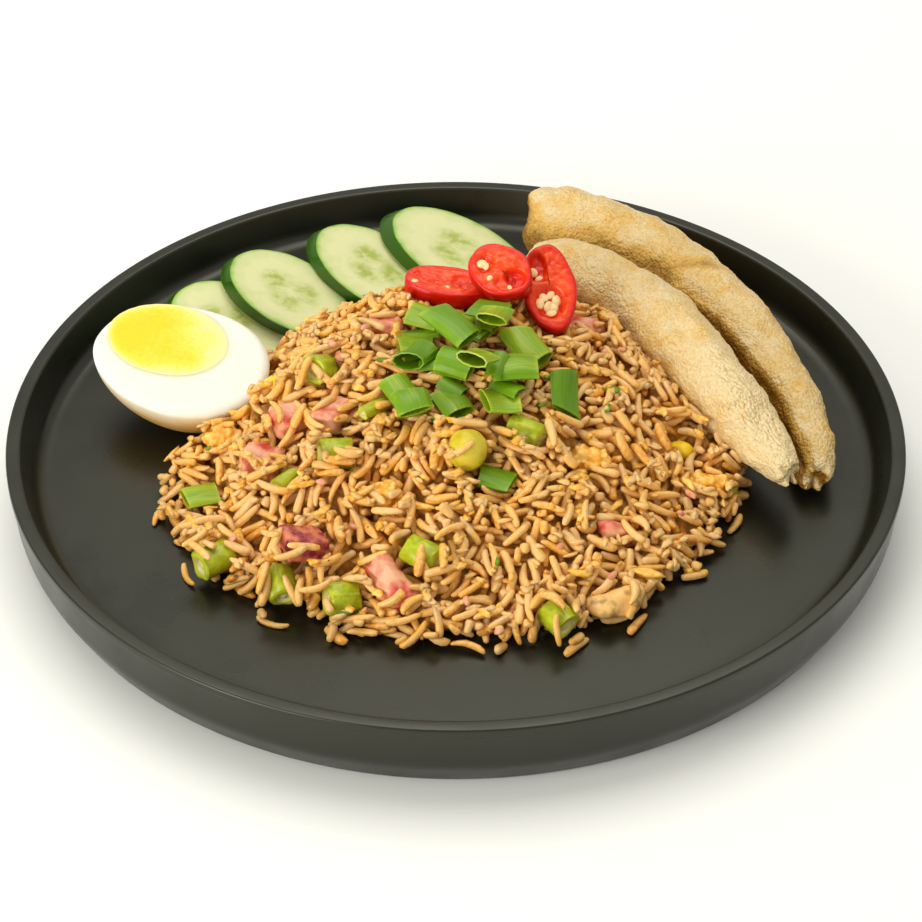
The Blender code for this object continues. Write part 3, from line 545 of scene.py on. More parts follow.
def shift(bm, moves):
    """Move each of a shape's points by its own move."""
    for vert, move in zip(bm.verts, moves):
        vert.co += move


def turned(size, **angles):
    """A rotation matrix of a size, as turns about named axes, of which the last comes first."""
    turn = Matrix.Identity(size)
    for axis, angle in angles.items():
        turn = turn @ Matrix.Rotation(angle, size, axis)
    return turn


def float_layer(bm, name):
    """A shape's layer of one number for each point, added if it isn't there."""
    return bm.verts.layers.float.get(name) or bm.verts.layers.float.new(name)


def ripple(point, size, seed=0.0):
    """Smooth noise from -1 to 1 whose waves are a size across."""
    return noise.noise(Vector(point) / size + Vector((seed * 7.3, seed * 3.1, seed * 5.7)))


def roughen(bm, waves, seed=0.0):
    """Push each point along its normal by waves, given as size and height in millimetres."""
    bm.normal_update()
    moves = []
    for vert in bm.verts:
        push = sum(height * MM * ripple(vert.co, size * MM, seed) for size, height in waves)
        moves.append(vert.normal * push)
    shift(bm, moves)


def rounded(mesh, cuts):
    """The points and faces of a mesh after rounding, the mesh's own points first."""
    holder = bpy.data.objects.new("rough", mesh)
    bpy.context.scene.collection.objects.link(holder)
    rounding = holder.modifiers.new("rounding", "SUBSURF")
    rounding.levels = rounding.render_levels = cuts
    bpy.context.view_layer.update()
    graph = bpy.context.evaluated_depsgraph_get()
    made = bmesh.new()
    made.from_mesh(holder.evaluated_get(graph).to_mesh())
    bpy.data.objects.remove(holder)
    return made


def refine(bm, cuts, keep=0.8):
    """Split a shape's faces and round it several times over, keeping most of its corners' reach."""
    flat = 0.7
    bmesh.ops.join_triangles(
        bm, faces=bm.faces, angle_face_threshold=flat, angle_shape_threshold=flat
    )
    mesh = bpy.data.meshes.new("rough")
    bm.to_mesh(mesh)
    bm.free()
    wanted = np.array([v.co for v in mesh.vertices])
    cage = wanted.copy()
    for _ in range(2):
        tight = rounded(mesh, 1)
        cage += keep * (wanted - points_of(tight)[: len(wanted)])
        tight.free()
        mesh.vertices.foreach_set("co", cage.ravel())
        mesh.update()
    made = rounded(mesh, cuts)
    bpy.data.meshes.remove(mesh)
    return made


def points_in(geom):
    """The points among what a mesh operation made."""
    return [item for item in geom if isinstance(item, bmesh.types.BMVert)]


def thick_disc(bm, segments, outline):
    """A round face whose edge follows outline(point, angle), and a copy of it joined to it: the
    copy's points, which are still to be moved off the first face's."""
    bmesh.ops.create_circle(bm, cap_ends=True, segments=segments, radius=1.0)
    for vert in bm.verts:
        vert.co = outline(vert.co, math.atan2(vert.co.y, vert.co.x))
    bm.normal_update()
    return points_in(bmesh.ops.extrude_face_region(bm, geom=bm.faces[:])["geom"])


def lids(bm, middle=0.0):
    """The two flat ends of a thick disc, each with 1 or -1 for the way it faces along Z."""
    ends = [face for face in bm.faces if len(face.verts) > 8]
    return [(face, 1 if face.calc_center_median().z > middle else -1) for face in ends]


def add_softened(label, name, look, slot, waves, seed, cuts, keep=0.8):
    """A piece with its solid's own shape, rounded and made uneven."""
    bm = refine(solid_shape(name), cuts, keep)
    roughen(bm, waves, seed)
    add_piece(label, bm, look, slot, [name])


def ring_in(bm, face, width, lift=0.0):
    """Inset an oval face by a width on every side, towards its middle, and lift it along Z."""
    bmesh.ops.inset_individual(bm, faces=[face], thickness=0.0)
    verts = list(face.verts)
    points = np.array([v.co for v in verts])
    middle = (points.max(axis=0) + points.min(axis=0)) / 2
    half = np.maximum(np.ptp(points, axis=0) / 2, 1e-6)
    size = [max(0.05, 1 - width / h) for h in half[:2]] + [1.0]
    bmesh.ops.scale(bm, vec=size, verts=verts, space=Matrix.Translation(Vector(-middle)))
    bmesh.ops.translate(bm, vec=(0, 0, lift), verts=verts)
    return verts


# Plate


def rounded_path(corners, steps=6):
    """A path through corners given as radius, height and rounding."""
    path = []
    for i, (r, z, rounding) in enumerate(corners):
        here = Vector((r, z))
        if rounding == 0 or i in (0, len(corners) - 1):
            path.append(here)
            continue
        before = Vector(corners[i - 1][:2]) - here
        after = Vector(corners[i + 1][:2]) - here
        reach = min(rounding, before.length * 0.49, after.length * 0.49)
        start = here + before.normalized() * reach
        end = here + after.normalized() * reach
        for k in range(steps + 1):
            t = k / steps
            path.append(start * (1 - t) ** 2 + here * 2 * t * (1 - t) + end * t * t)
    return path


def make_plate(settings):
    """The plate's section, from its underside round the rim to its floor, turned about its axis."""
    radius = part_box("plate")[1].x
    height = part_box("plate")[1].z
    inner_rim = radius - settings.rim_width
    foot_inner = settings.foot_outer - 3.3 * MM
    corners = (
        (0.0, settings.underside, 0),
        (foot_inner - 0.6 * MM, settings.underside, 1.5 * MM),
        (foot_inner, 0.0, 0.6 * MM),
        (settings.foot_outer, 0.0, 1.2 * MM),
        (settings.waist_radius, settings.waist_height, 2.5 * MM),
        (radius - 0.6 * MM, height - 3.0 * MM, 0.5 * MM),
        (radius, height - 2.4 * MM, 0.4 * MM),
        (radius, height, 0.8 * MM),
        (inner_rim, height, 0.9 * MM),
        (settings.wall_foot - 0.6 * MM, settings.floor_height, 4.2 * MM),
        (settings.wall_foot - 10 * MM, settings.floor_height, 0.5 * MM),
        (0.0, settings.floor_height, 0),
    )
    bm = bmesh.new()
    verts = [bm.verts.new((p.x, 0, p.y)) for p in rounded_path(corners)]
    edges = [bm.edges.new(pair) for pair in zip(verts, verts[1:])]
    turn = {"cent": (0, 0, 0), "axis": (0, 0, 1), "angle": 2 * math.pi, "steps": 192}
    bmesh.ops.spin(bm, geom=verts + edges, use_merge=True, **turn)
    bmesh.ops.remove_doubles(bm, verts=bm.verts, dist=0.001 * MM)
    add_piece("black_plate", bm, melamine(settings), "black_melamine", ["plate"], sharp=60)


# Egg


def ring_places(bm):
    """A ball's points, each with its ring's number, from the lower pole up, and its angle."""
    levels = sorted({round(v.co.z, 5) for v in bm.verts})
    order = {level: i for i, level in enumerate(levels)}
    return [(v, order[round(v.co.z, 5)], math.atan2(v.co.y, v.co.x)) for v in bm.verts]


def make_egg(settings):
    """The white is one skin: up the outside, over the cut and down into the hollow for the yolk."""
    matrix, face, every = cut_face("egg_white")
    back = matrix.inverted()
    half_length = np.abs(face[:, 0]).max()
    half_width = np.ptp(face[:, 1]) / 2
    depth = -every[:, 2].min()
    yolk_points = np.array([back @ v.co for v in NODES["egg_yolk"].data.vertices])
    low, high = yolk_points.min(axis=0), yolk_points.max(axis=0)
    middle = (low + high) / 2
    yolk_half = (high - low) / 2
    edge_drop = 1.3 * MM

    def outline(angle, drop):
        """A point on the egg's outside, at an angle around it and one below the cut."""
        swell = 1 + settings.bluntness * math.cos(angle)
        around = math.cos(drop)
        x = math.cos(angle) * half_length * around
        y = math.sin(angle) * half_width * swell * around
        z = -math.sin(drop) * depth * swell - edge_drop * (1 - math.sin(drop))
        return Vector((x, y, z))

    def uneven(angle):
        """How far the yolk reaches at an angle, as a share of its half size."""
        around = Vector((math.cos(angle), math.sin(angle), 0))
        return 0.99 + 0.02 * ripple(around, 0.7) + 0.008 * ripple(around, 0.15)

    def yolk_edge(angle, share, height):
        """A point in the hollow that holds the yolk, a share of the way out to its edge."""
        share = share * uneven(angle)
        x = middle[0] + math.cos(angle) * (yolk_half[0] + 0.05 * MM) * share
        y = middle[1] + math.sin(angle) * (yolk_half[1] + 0.05 * MM) * share
        return Vector((x, y, height))

    # The rings of a ball, shared between the outside, the cut and the hollow for the yolk.
    outside, flat, hollow = 34, 14, 12
    white = bmesh.new()
    bmesh.ops.create_uvsphere(white, u_segments=128, v_segments=outside + flat + hollow, radius=1.0)
    lowness = float_layer(white, "lowness")
    stain = float_layer(white, "yolk_stain")
    for vert, ring, angle in ring_places(white):
        if ring <= outside:
            vert.co = outline(angle, (1 - ring / outside) * math.pi / 2)
            # How low the point lies on the outside, which sets the painted shade and cream of the
            # white.
            vert[lowness] = max(0.0, -vert.co.z / depth) ** 0.8
        elif ring <= outside + flat:
            share = (ring - outside) / flat
            rim = outline(angle, 0)
            vert.co = rim.lerp(yolk_edge(angle, 1, 0), share)
            inward = share * (rim - yolk_edge(angle, 1, 0)).length
            rounding = edge_drop * max(0.0, 1 - inward / (3.2 * MM)) ** 2
            vert.co.z = -rounding - 0.15 * MM * math.sin(share * math.pi)
            outward = (1 - share) * (rim - yolk_edge(angle, 1, 0)).length
            vert[stain] = max(0.0, 1 - outward / (3.0 * MM)) ** 1.5
        else:
            dip = (ring - outside - flat) / hollow * math.pi / 2
            vert.co = yolk_edge(angle, math.cos(dip), math.sin(dip) * low[2])
    white.transform(matrix)
    look = cooked_white(settings)
    add_piece("boiled_egg_white", white, look, "egg_white", ["egg_white"], sharp=60)

    yolk = bmesh.new()
    bmesh.ops.create_uvsphere(yolk, u_segments=128, v_segments=48, radius=1.0)
    rim = float_layer(yolk, "rim")
    fade = float_layer(yolk, "edge")
    for vert in yolk.verts:
        spot = vert.co.copy()
        edge = math.hypot(spot.x, spot.y)
        if spot.z > 0:
            vert[rim] = edge**7 + 0.55 * spot.x
            vert[fade] = 0.8 * edge**30
            rise = settings.dome * (1 - edge**3) + 0.08 * MM * ripple(spot, 0.12) * (1 - edge**8)
        else:
            rise = -spot.z * low[2]
            vert[fade] = 0.8
        around = uneven(math.atan2(spot.y, spot.x)) + 0.5 * MM / yolk_half[1]
        rise += 0.08 * MM * (1 - edge**16) - 0.03 * MM
        vert.co = Vector((spot.x * yolk_half[0] * around, spot.y * yolk_half[1] * around, rise))
    bmesh.ops.translate(yolk, verts=yolk.verts, vec=(middle[0], middle[1], 0))
    yolk.transform(matrix)
    add_piece("boiled_egg_yolk", yolk, cooked_yolk(settings), "egg_yolk", ["egg_yolk"], sharp=60)


# Cucumber

# Widths of the rings inside a cut's edge, and how far each is lifted, in millimetres.
CUCUMBER_RINGS = ((0.25, 0.12), (0.35, 0.05), (0.6, 0), (0.9, 0), (1.2, 0), *((1.35, 0),) * 13)


def make_cucumbers(settings):
    """Slanting slices: two cut faces, each with a ring of flesh and a seeded middle, and a skin."""
    look = sliced_cucumber(settings)
    for index, name in enumerate(like("cucumber_slice"), 1):
        matrix, face, every = cut_face(name)
        half_length = np.abs(face[:, 0]).max()
        half_width = np.ptp(face[:, 1]) / 2
        below = every[every[:, 2] < every[:, 2].min() + 0.5 * MM].mean(axis=0)
        bm = bmesh.new()
        depth = float_layer(bm, "depth")
        seed = float_layer(bm, "seed")

        def outline(spot, angle):
            wobble = 0.99 + 0.010 * math.sin(3 * angle + index) + 0.003 * math.sin(11 * angle)
            return Vector((spot.x * half_length, spot.y * half_width, 0)) * wobble

        raised = set(thick_disc(bm, 120, outline))
        bmesh.ops.translate(bm, verts=[v for v in bm.verts if v not in raised], vec=below)
        for lid, up in lids(bm, below[2] / 2):
            reach = 0.0
            for step, lift in CUCUMBER_RINGS:
                reach += step
                for vert in ring_in(bm, lid, step * MM, lift * MM * up):
                    vert[depth] = reach * MM / half_width
            bmesh.ops.poke(bm, faces=[lid])
        for vert in bm.verts:
            across = Vector((vert.co.x / half_length, vert.co.y / half_width)).length
            if vert[depth] == 0 and across < 0.5:
                vert[depth] = 1.0
            if vert[depth] > 0:
                angle = math.atan2(vert.co.y / half_width, vert.co.x / half_length)
                lobes = 0.5 + 0.5 * math.cos(3 * angle + index * 1.3)
                middle = max(0.0, 1 - abs(across - 0.24 - 0.06 * lobes) / 0.27)
                vert[seed] = min(1.0, middle * (0.55 + 1.0 * lobes))
                vert.co.z += 0.08 * MM * ripple(vert.co, 2.4 * MM, index) - 0.1 * MM * vert[seed]
        bm.transform(matrix)
        add_piece(f"cucumber_{index}", bm, look, "cucumber", [name], sharp=50)


# Fried fish sausages

# Which way the torn flakes stand out, and how far from its front end each sausage is torn.
FORWARD = Vector((0.3, -1, 0.1))
TORN = (6 * MM, 9 * MM)
# The share of each sausage's length, from its front end, where its dough is bare and cracked.
CRACKED = (0.05, 0.42)


def make_sausages(settings):
    """Each is its solid, rounded, lumped and blistered, then cracked and torn towards its front."""
    look = fried_crust(settings)
    other = tree_of_solids(["fish_sausage_2"])
    for index, name in enumerate(like("fish_sausage"), 1):
        bm = refine(solid_shape(name), 4)
        low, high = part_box(name)
        matrix, _ = main_axes(name)
        back = matrix.inverted()
        turn = back.to_3x3()
        browning_and_shade = float_layer(bm, "browning_and_shade")
        bm.normal_update()
        torn, cracked = TORN[index - 1], CRACKED[index - 1]
        moves = []
        for vert in bm.verts:
            spot, normal = vert.co, vert.normal
            along = (spot.y - low.y) / (high.y - low.y)
            from_tip = spot.y - low.y

            # Lumps, blisters, and cracks where the dough is bare.
            push = settings.lumps * ripple(spot, 10 * MM, index)
            push += settings.lumps * 0.5 * ripple(spot, 4 * MM, index)
            grit = ripple(spot, 1.6 * MM, index) + 0.7 * ripple(spot, 1.0 * MM, index)
            push += settings.blisters * grit
            local = back @ spot
            strand = ripple((local.x / 4.5, local.y, local.z), 1.3 * MM, index + 3)
            upward = max(0.0, normal.z)
            bare = unit((cracked - along) * 8) * upward
            crack = max(0.0, 1 - abs(strand) / 0.14)
            push -= bare * crack * settings.cracks

            # The sides that face each other draw apart, and the back one has a crease by the front.
            facing = (turn @ normal).y * (3 - 2 * index)
            gap = max(0.0, facing) * unit((0.75 - along) * 4)
            # shaded marks the back sausage's flank facing the front one, for painted shade.
            shaded = gap * (2 - index) * max(0.0, 1 - upward * 1.3)
            crease = 0.0
            if index == 1:
                if facing > 0:
                    reach = unit((21 * MM - from_tip) / (2.5 * MM))
                    gap += 2.2 * facing * reach * min(1.0, from_tip / (12 * MM))
                crease = max(0.0, 1 - other.find_nearest(spot)[3] / (6 * MM))
                crease *= unit((0.93 - along) * 5)
            push -= 0.9 * MM * gap
            push -= 5.0 * MM * crease

            # The torn end's flakes, a fold across the back sausage and the front one's low rear.
            raggedness = max(0.0, 1 - from_tip / torn)
            flake = ripple((local.x / 2.5, local.y, local.z), 2.3 * MM, index + 8)
            flake += (index - 1) * 2.2
            fold = math.exp(-(((along - 0.63) / 0.025) ** 2)) * (2 - index) * upward
            rear = max(0.0, (along - 0.72) / 0.28) * (index - 1) * upward
            move = normal * push + FORWARD * raggedness * flake * settings.tear
            move = move - normal * fold * MM
            move.z -= 3 * MM * rear
            moves.append(move)

            # It browned in patches and in its fold, and the back one carries painted shade: on its
            # sides that face down and to the left, on its flank facing the front one and in the
            # crease beside it.
            end = max(0.0, 1 - from_tip / (16 * MM))
            # Painted shade on the back sausage's sides that face down and to the left.
            side = max(0.0, 0.40 - normal.z * 0.7 - normal.x * 0.45) * (0.75, 0.0)[index - 1]
            patch = 0.14 * ripple(spot, 15 * MM, 4 + index) + 0.10 * ripple(spot, 5 * MM, index)
            patch = patch - 0.04 * index - 0.10 * grit
            vert[browning_and_shade] = side * (1 - 0.5 * bare) + patch * (1 - 0.6 * bare) - 0.25 * bare
            # Painted shade on that flank, and strongest in the crease beside the front sausage.
            vert[browning_and_shade] += 0.45 * shaded + 1.3 * crease
            vert[browning_and_shade] += 0.25 * bare * crack + 0.3 * fold - 0.15 * end
        shift(bm, moves)
        for vert in bm.verts:
            vert.co.z = max(vert.co.z, low.z)
        add_piece(f"fried_sausage_{index}", bm, look, "fried_fish_sausage", [name])


# Chilli, spring onion, beans and other pieces in the rice

DARK_HAM = "ham_5"
# Each slice's seed chambers: place and half size in the cut's half sizes, depth in millimetres.
CHILLI_CHAMBERS = (
    ((-0.35, 0.0, 0.45, 0.50, 0.5), (0.36, 0.05, 0.30, 0.45, 0.8)),
    ((0.50, 0.36, 0.34, 0.40, 2.4), (-0.36, 0.12, 0.38, 0.56, 1.9)),
    ((-0.50, 0.10, 0.34, 0.34, 2.4), (0.48, 0.0, 0.26, 0.36, 1.3), (-0.30, 0.50, 0.30, 0.24, 1.0)),
)
# Each slice's seeds: place in the cut's own half sizes, and size.
CHILLI_SEEDS = (
    ((-0.72, -0.40, 0.8), (0.05, -0.45, 0.5)),
    (
        *((0.42, 0.46, 1.1), (0.26, 0.30, 0.9), (-0.32, 0.46, 1.25), (-0.20, 0.28, 1.1)),
        *((-0.17, 0.02, 1.0), (-0.32, -0.14, 1.25), (-0.42, 0.18, 1.25), (-0.58, 0.12, 1.15)),
        (-0.46, -0.02, 1.1),
    ),
    ((0.58, 0.02, 1.2), (0.44, 0.04, 0.9), (0.16, 0.46, 0.7), (-0.48, 0.50, 0.6)),
)
# Widths of the rings inside the cut's edge, and how far each is lifted, in millimetres.
CHILLI_RINGS = ((0.3, 0.35), (0.3, 0.15), (0.4, 0.0), *((0.42, 0.0),) * 30)
# The same for a bean, in its own half widths, with how deep inside the bean each ring looks.
BEAN_RINGS = (
    *((0.06, 0.05, 0.0), (0.08, 0.03, 0.1), (0.06, 0.0, 0.2), (0.16, 0.0, 0.22)),
    *((0.10, -0.04, 0.40), (0.08, -0.12, 0.55), (0.08, 0.05, 0.36), (0.14, 0.1, 0.40)),
)


def chamber_depth(x, y, chambers):
    """How deep a chilli's seed chambers lie below its cut at a place, given in its half sizes."""
    deepest = 0.0
    for cx, cy, rx, ry, deep in chambers:
        away = math.hypot((x - cx) / rx, (y - cy) / ry)
        rise = unit((1.15 - away) / 0.45)
        deepest = max(deepest, deep * MM * rise * rise * (3 - 2 * rise))
    return deepest


def make_chillies(settings):
    """Thick slanting slices: a glossy skin, a ring of flesh, and seed chambers sunk in the cut."""
    skin = moist_food(
        "fresh_chilli",
        tuple(
            (place, getattr(settings, "chilli_" + part))
            for place, part in ((0.10, "skin"), (0.28, "rim"), (0.62, "flesh"), (0.84, "vein"))
        ),
        1.4,
        0.25,
        roughness=0.27,
        attribute="inside",
        glow=0.12,
    )
    pale = tint(settings.chilli_seed, 1.15)
    seed_look = moist_food("chilli_seed", ((0.4, settings.chilli_seed), (0.6, pale)), 0.8, 0.08)
    seeds = bmesh.new()
    for index, name in enumerate(like("chilli_slice"), 1):
        chambers = CHILLI_CHAMBERS[index - 1]
        matrix, half = main_axes(name)
        bm = bmesh.new()
        inside = float_layer(bm, "inside")

        def outline(spot, angle):
            wobble = 0.965 + 0.03 * math.sin(2 * angle + index)
            wobble += 0.02 * math.sin(5 * angle + 2 * index)
            size = Vector((spot.x * half[0], spot.y * half[1], 0)) * wobble
            return size + Vector((0, 0, -half[2]))

        bmesh.ops.translate(bm, verts=thick_disc(bm, 80, outline), vec=(0, 0, 2 * half[2]))
        wall = settings.chilli_wall
        inset = float_layer(bm, "inset")
        for cap, up in lids(bm):
            reach = 0.0
            for step, lift in CHILLI_RINGS:
                reach += step * MM
                if reach > half[1] * 0.93:
                    break
                for vert in ring_in(bm, cap, step * MM, lift * MM * up):
                    vert[inset] = reach
            for vert in bmesh.ops.poke(bm, faces=[cap])["verts"]:
                vert[inset] = half[1]

        # The cut faces sink into the seed chambers, and are bumpy and cracked between them.
        moves = []
        for vert in bm.verts:
            spot = vert.co.copy()
            if not vert[inset]:
                moves.append(spot.normalized() * 0.25 * MM * ripple(spot, 4 * MM, index))
                continue
            inward = unit((vert[inset] - 0.55 * MM) / (0.8 * wall))
            sunk = chamber_depth(spot.x / half[0], spot.y / half[1], chambers) * inward
            bumps = ripple(spot, 1.9 * MM, index) + 0.5 * ripple(spot, 0.9 * MM, index)
            crack = max(0.0, 1 - abs(ripple(spot, 3.2 * MM, index + 5)) / 0.07)
            lift = (0.35 * bumps - 0.4 * crack) * inward * MM - sunk
            moves.append(Vector((0, 0, math.copysign(1, spot.z) * lift)))
            vert[inside] = 0.14 + inward * (0.36 + 0.15 * bumps - 0.12 * sunk / MM - 0.25 * crack)
        shift(bm, moves)
        bm.transform(matrix)
        add_piece(f"chilli_{index}", bm, skin, "red_chilli", [name], sharp=75)
        rng = random.Random(30 + index)
        for x, y, size in CHILLI_SEEDS[index - 1]:
            level = half[2] - chamber_depth(x, y, chambers) * 0.8 + 0.5 * MM
            turn = turned(4, Z=rng.uniform(0, 6.3), X=rng.uniform(-0.5, 0.5))
            lain = Matrix.Translation((x * half[0], y * half[1], level)) @ turn
            shape = Matrix.Diagonal((1.45 * MM * size, 1.15 * MM * size, 0.65 * MM * size, 1))
            place = matrix @ lain @ shape
            bmesh.ops.create_icosphere(seeds, subdivisions=3, radius=1.0, matrix=place)
    roughen(seeds, ((1.2, 0.12),))
    add_piece("chilli_seeds", seeds, seed_look, "red_chilli")


def lay_veins(faces, leaf, across):
    """Give faces the leaf's coordinates, so that its veins run along it."""
    for face in faces:
        for corner in face.loops:
            x, y, z = corner.vert.co
            corner[leaf].uv = across(x, y, z)


def make_onions(settings):
    """Lengths of spring onion, thin ribbed tubes more or less squashed, and scraps of leaf."""
    look = onion_leaf(settings)
    for index, name in enumerate(like("spring_onion"), 1):
        matrix, half = main_axes(name)
        rng = random.Random(index)
        base = rng.uniform(-0.06, 0.34)
        slant = rng.uniform(-0.2, 0.2)
        pinch = rng.uniform(0.5, 0.95)
        steps = 10
        bm = bmesh.new()
        shade = float_layer(bm, "shade")
        bmesh.ops.create_circle(bm, cap_ends=False, segments=32, radius=1.0)
        loop = list(bm.edges)
        bmesh.ops.translate(bm, verts=bm.verts, vec=(0, 0, -1))
        for _ in range(steps):
            out = bmesh.ops.extrude_edge_only(bm, edges=loop)["geom"]
            loop = [g for g in out if isinstance(g, bmesh.types.BMEdge)]
            bmesh.ops.translate(bm, verts=points_in(out), vec=(0, 0, 2 / steps))

        def around(x, y, z):
            turn = math.atan2(y, x)
            return 8 * math.cos(turn) + 5 * math.sin(turn) + index, z * 0.7

        lay_veins(bm.faces, bm.loops.layers.uv.new("leaf"), around)
        for vert in bm.verts:
            x, y, z = vert.co
            angle = math.atan2(y, x)
            rib = 1 + 0.035 * math.sin(11 * angle + index)
            rib += 0.05 * ripple((x, y, z * 0.3), 0.6, index)
            rib *= 1 + 0.16 * pinch
            squash = 1 - pinch * (0.75 + 0.25 * math.sin(1.5 * z + index))
            cut = max(0.0, abs(z) - 0.93) * 4
            vert[shade] = base + 0.18 * ripple((x * 1.2, y * 1.2, index), 1.0) - cut * 0.5
            along = z * (half[0] + 0.4 * MM) * (1 + slant * x)
            up = (y * rib * squash - (1 - squash) * 0.5) * (half[2] - 0.2 * MM)
            vert.co = Vector((along, x * rib * (half[1] - 0.2 * MM), up))
        bmesh.ops.recalc_face_normals(bm, faces=bm.faces)
        bmesh.ops.solidify(bm, geom=list(bm.faces), thickness=settings.onion_wall)
        bm.transform(matrix)
        add_piece(f"onion_{index}", bm, look, "spring_onion", [name], sharp=50)

    # Scraps of leaf halfway between lengths that lie near each other.
    boxes = [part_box(name) for name in like("spring_onion")]
    middles = [(low + high) / 2 for low, high in boxes]
    pairs = [
        (a + b) / 2
        for i, a in enumerate(middles)
        for b in middles[i + 1 :]
        if 6 * MM < (a - b).length < 13 * MM
    ]
    rng = random.Random(8)
    scraps = bmesh.new()
    shade = float_layer(scraps, "shade")
    leaf = scraps.loops.layers.uv.new("leaf")
    for place in rng.sample(pairs, min(len(pairs), settings.scraps)):
        start = len(scraps.verts)
        bmesh.ops.create_grid(scraps, x_segments=10, y_segments=8, size=1.0)
        scraps.verts.ensure_lookup_table()
        fresh = scraps.verts[start:]
        curl = rng.uniform(0.8, 2.0)
        base = rng.uniform(-0.1, 0.25)
        across = rng.uniform(2.6, 3.6) * MM
        along = rng.uniform(3.6, 5.6) * MM
        made = {f for v in fresh for f in v.link_faces}
        lay_veins(made, leaf, lambda x, y, z: (8 * y + base, x * 0.7))
        for vert in fresh:
            x, y, _ = vert.co
            vert[shade] = base + 0.1 * ripple((x, y, base), 0.8)
            ragged = 1 + 0.12 * ripple((x * 0.2, y, base), 0.4)
            vert.co = Vector((x * along * ragged, math.sin(y * curl) / curl * across * 1.3, 0))
            vert.co.z = (math.cos(y * curl) - 1) / curl * across
        turn = turned(4, Z=rng.uniform(0, 6.28), Y=rng.uniform(-0.3, 0.3))
        lower = place - Vector((0, 0, 1.0 * MM))
        bmesh.ops.transform(scraps, matrix=Matrix.Translation(lower) @ turn, verts=fresh)
    bmesh.ops.solidify(scraps, geom=list(scraps.faces), thickness=settings.onion_wall)
    add_piece("onion_scraps", scraps, look, "spring_onion", sharp=50)


def make_beans(settings):
    """Cut lengths of green bean, each end with its wall and seed chamber, and the round peas."""
    look = moist_food(
        "cut_green_bean",
        (
            (0.08, tint(settings.bean, 0.75)),
            (0.16, tint(settings.bean, 1.1)),
            (0.36, settings.bean_rim),
            (0.50, settings.bean_flesh),
            (0.72, settings.bean_pith),
        ),
        1.8,
        0.4,
        roughness=0.26,
        attribute="inside",
    )
    for index, name in enumerate(like("green_bean"), 1):
        matrix, half = main_axes(name)
        bm = bmesh.new()
        inside = float_layer(bm, "inside")

        def outline(spot, angle):
            rib = 0.85 + 0.06 * math.cos(2 * angle + index) + 0.02 * math.sin(5 * angle + index)
            return Vector((spot.x * half[2] * rib, spot.y * half[1] * rib, -half[0] * 0.8))

        bmesh.ops.translate(bm, verts=thick_disc(bm, 36, outline), vec=(0, 0, 1.6 * half[0]))
        small = min(half[1], half[2])
        for cap, out in lids(bm):
            for step, push, tone in BEAN_RINGS:
                for vert in ring_in(bm, cap, step * small, push * small * out):
                    vert[inside] = tone
            bmesh.ops.poke(bm, faces=[cap])
        bm.transform(matrix @ Matrix.Rotation(math.pi / 2, 4, "Y"))
        roughen(bm, ((4.5, 0.9), (1.8, 0.2)), index)
        add_piece(f"bean_{index}", bm, look, "green_bean", [name], sharp=55)
    pea = moist_food("cooked_pea", ((0.36, settings.pea), (0.62, settings.pea_pale)), 5, 0.3)
    for index, name in enumerate(like("pea"), 1):
        add_softened(f"round_pea_{index}", name, pea, "pea", ((4, 0.25), (1.5, 0.06)), index, 2)


def make_soft_pieces(garnish):
    """Ham, egg, sweetcorn and a browned piece, each with its solid's own shape."""
    meat = ((0.36, garnish.ham_edge), (0.46, garnish.ham), (0.58, garnish.ham_pale))
    ham = moist_food("cured_ham", meat, 6, 0.9)
    folds = ((0.4, garnish.egg_bit), (0.6, garnish.egg_bit_pale))
    egg = moist_food("scrambled_egg", folds, 2.5, 0.5)
    pale = tint(garnish.corn, 1.15)
    corn = moist_food("sweetcorn_kernel", ((0.4, garnish.corn), (0.6, pale)), 4, 0.1)
    rind = moist_food("ham_rind", ((0.4, garnish.ham_rind), (0.6, garnish.ham)), 4, 0.6)
    for kind, look, waves, keep in (
        ("ham", ham, ((6, 1.3), (2.6, 0.5), (1.1, 0.2)), 0.25),
        ("scrambled_egg", egg, ((3, 1.7), (1.3, 0.7)), 0.5),
        ("sweetcorn", corn, ((4, 0.3),), 0.8),
    ):
        for index, name in enumerate(like(kind), 1):
            own = rind if name == DARK_HAM else look
            add_softened(f"{kind}_piece_{index}", name, own, kind, waves, index, 3, keep)
    crust = ((0.34, tint(garnish.brown_bit, 0.5)), (0.52, garnish.brown_bit))
    brown = moist_food("browned_crust", crust, 3, 0.4)
    waves = ((5, 1.0), (1.6, 0.35))
    add_softened("browned_lump", "browned_piece", brown, "browned_piece", waves, 5, 2)


# Rice

# The grid of heights: half its width, and its cell.
HALF = 0.1
CELL = 0.5 * MM
# Stray grains stay this near the plate's middle, and a cell is given up after so many tries.
REACH = 0.112
TRIES = 5
# Passes that smooth the heap's surface, how far it swells, and how far it banks up within so many
# cells of a small piece, and again at each step towards the front sausage.
SMOOTHING = 7
SWELL = 0.8 * MM
BANK = 4.5 * MM
BANK_CELLS = 9
STEP = 1.4 * MM
GRAIN_PIECES = (
    (("whole",), "whole_grains"),
    (("bent",), "bent_grains"),
    (("broken", "scrap"), "broken_grains"),
)
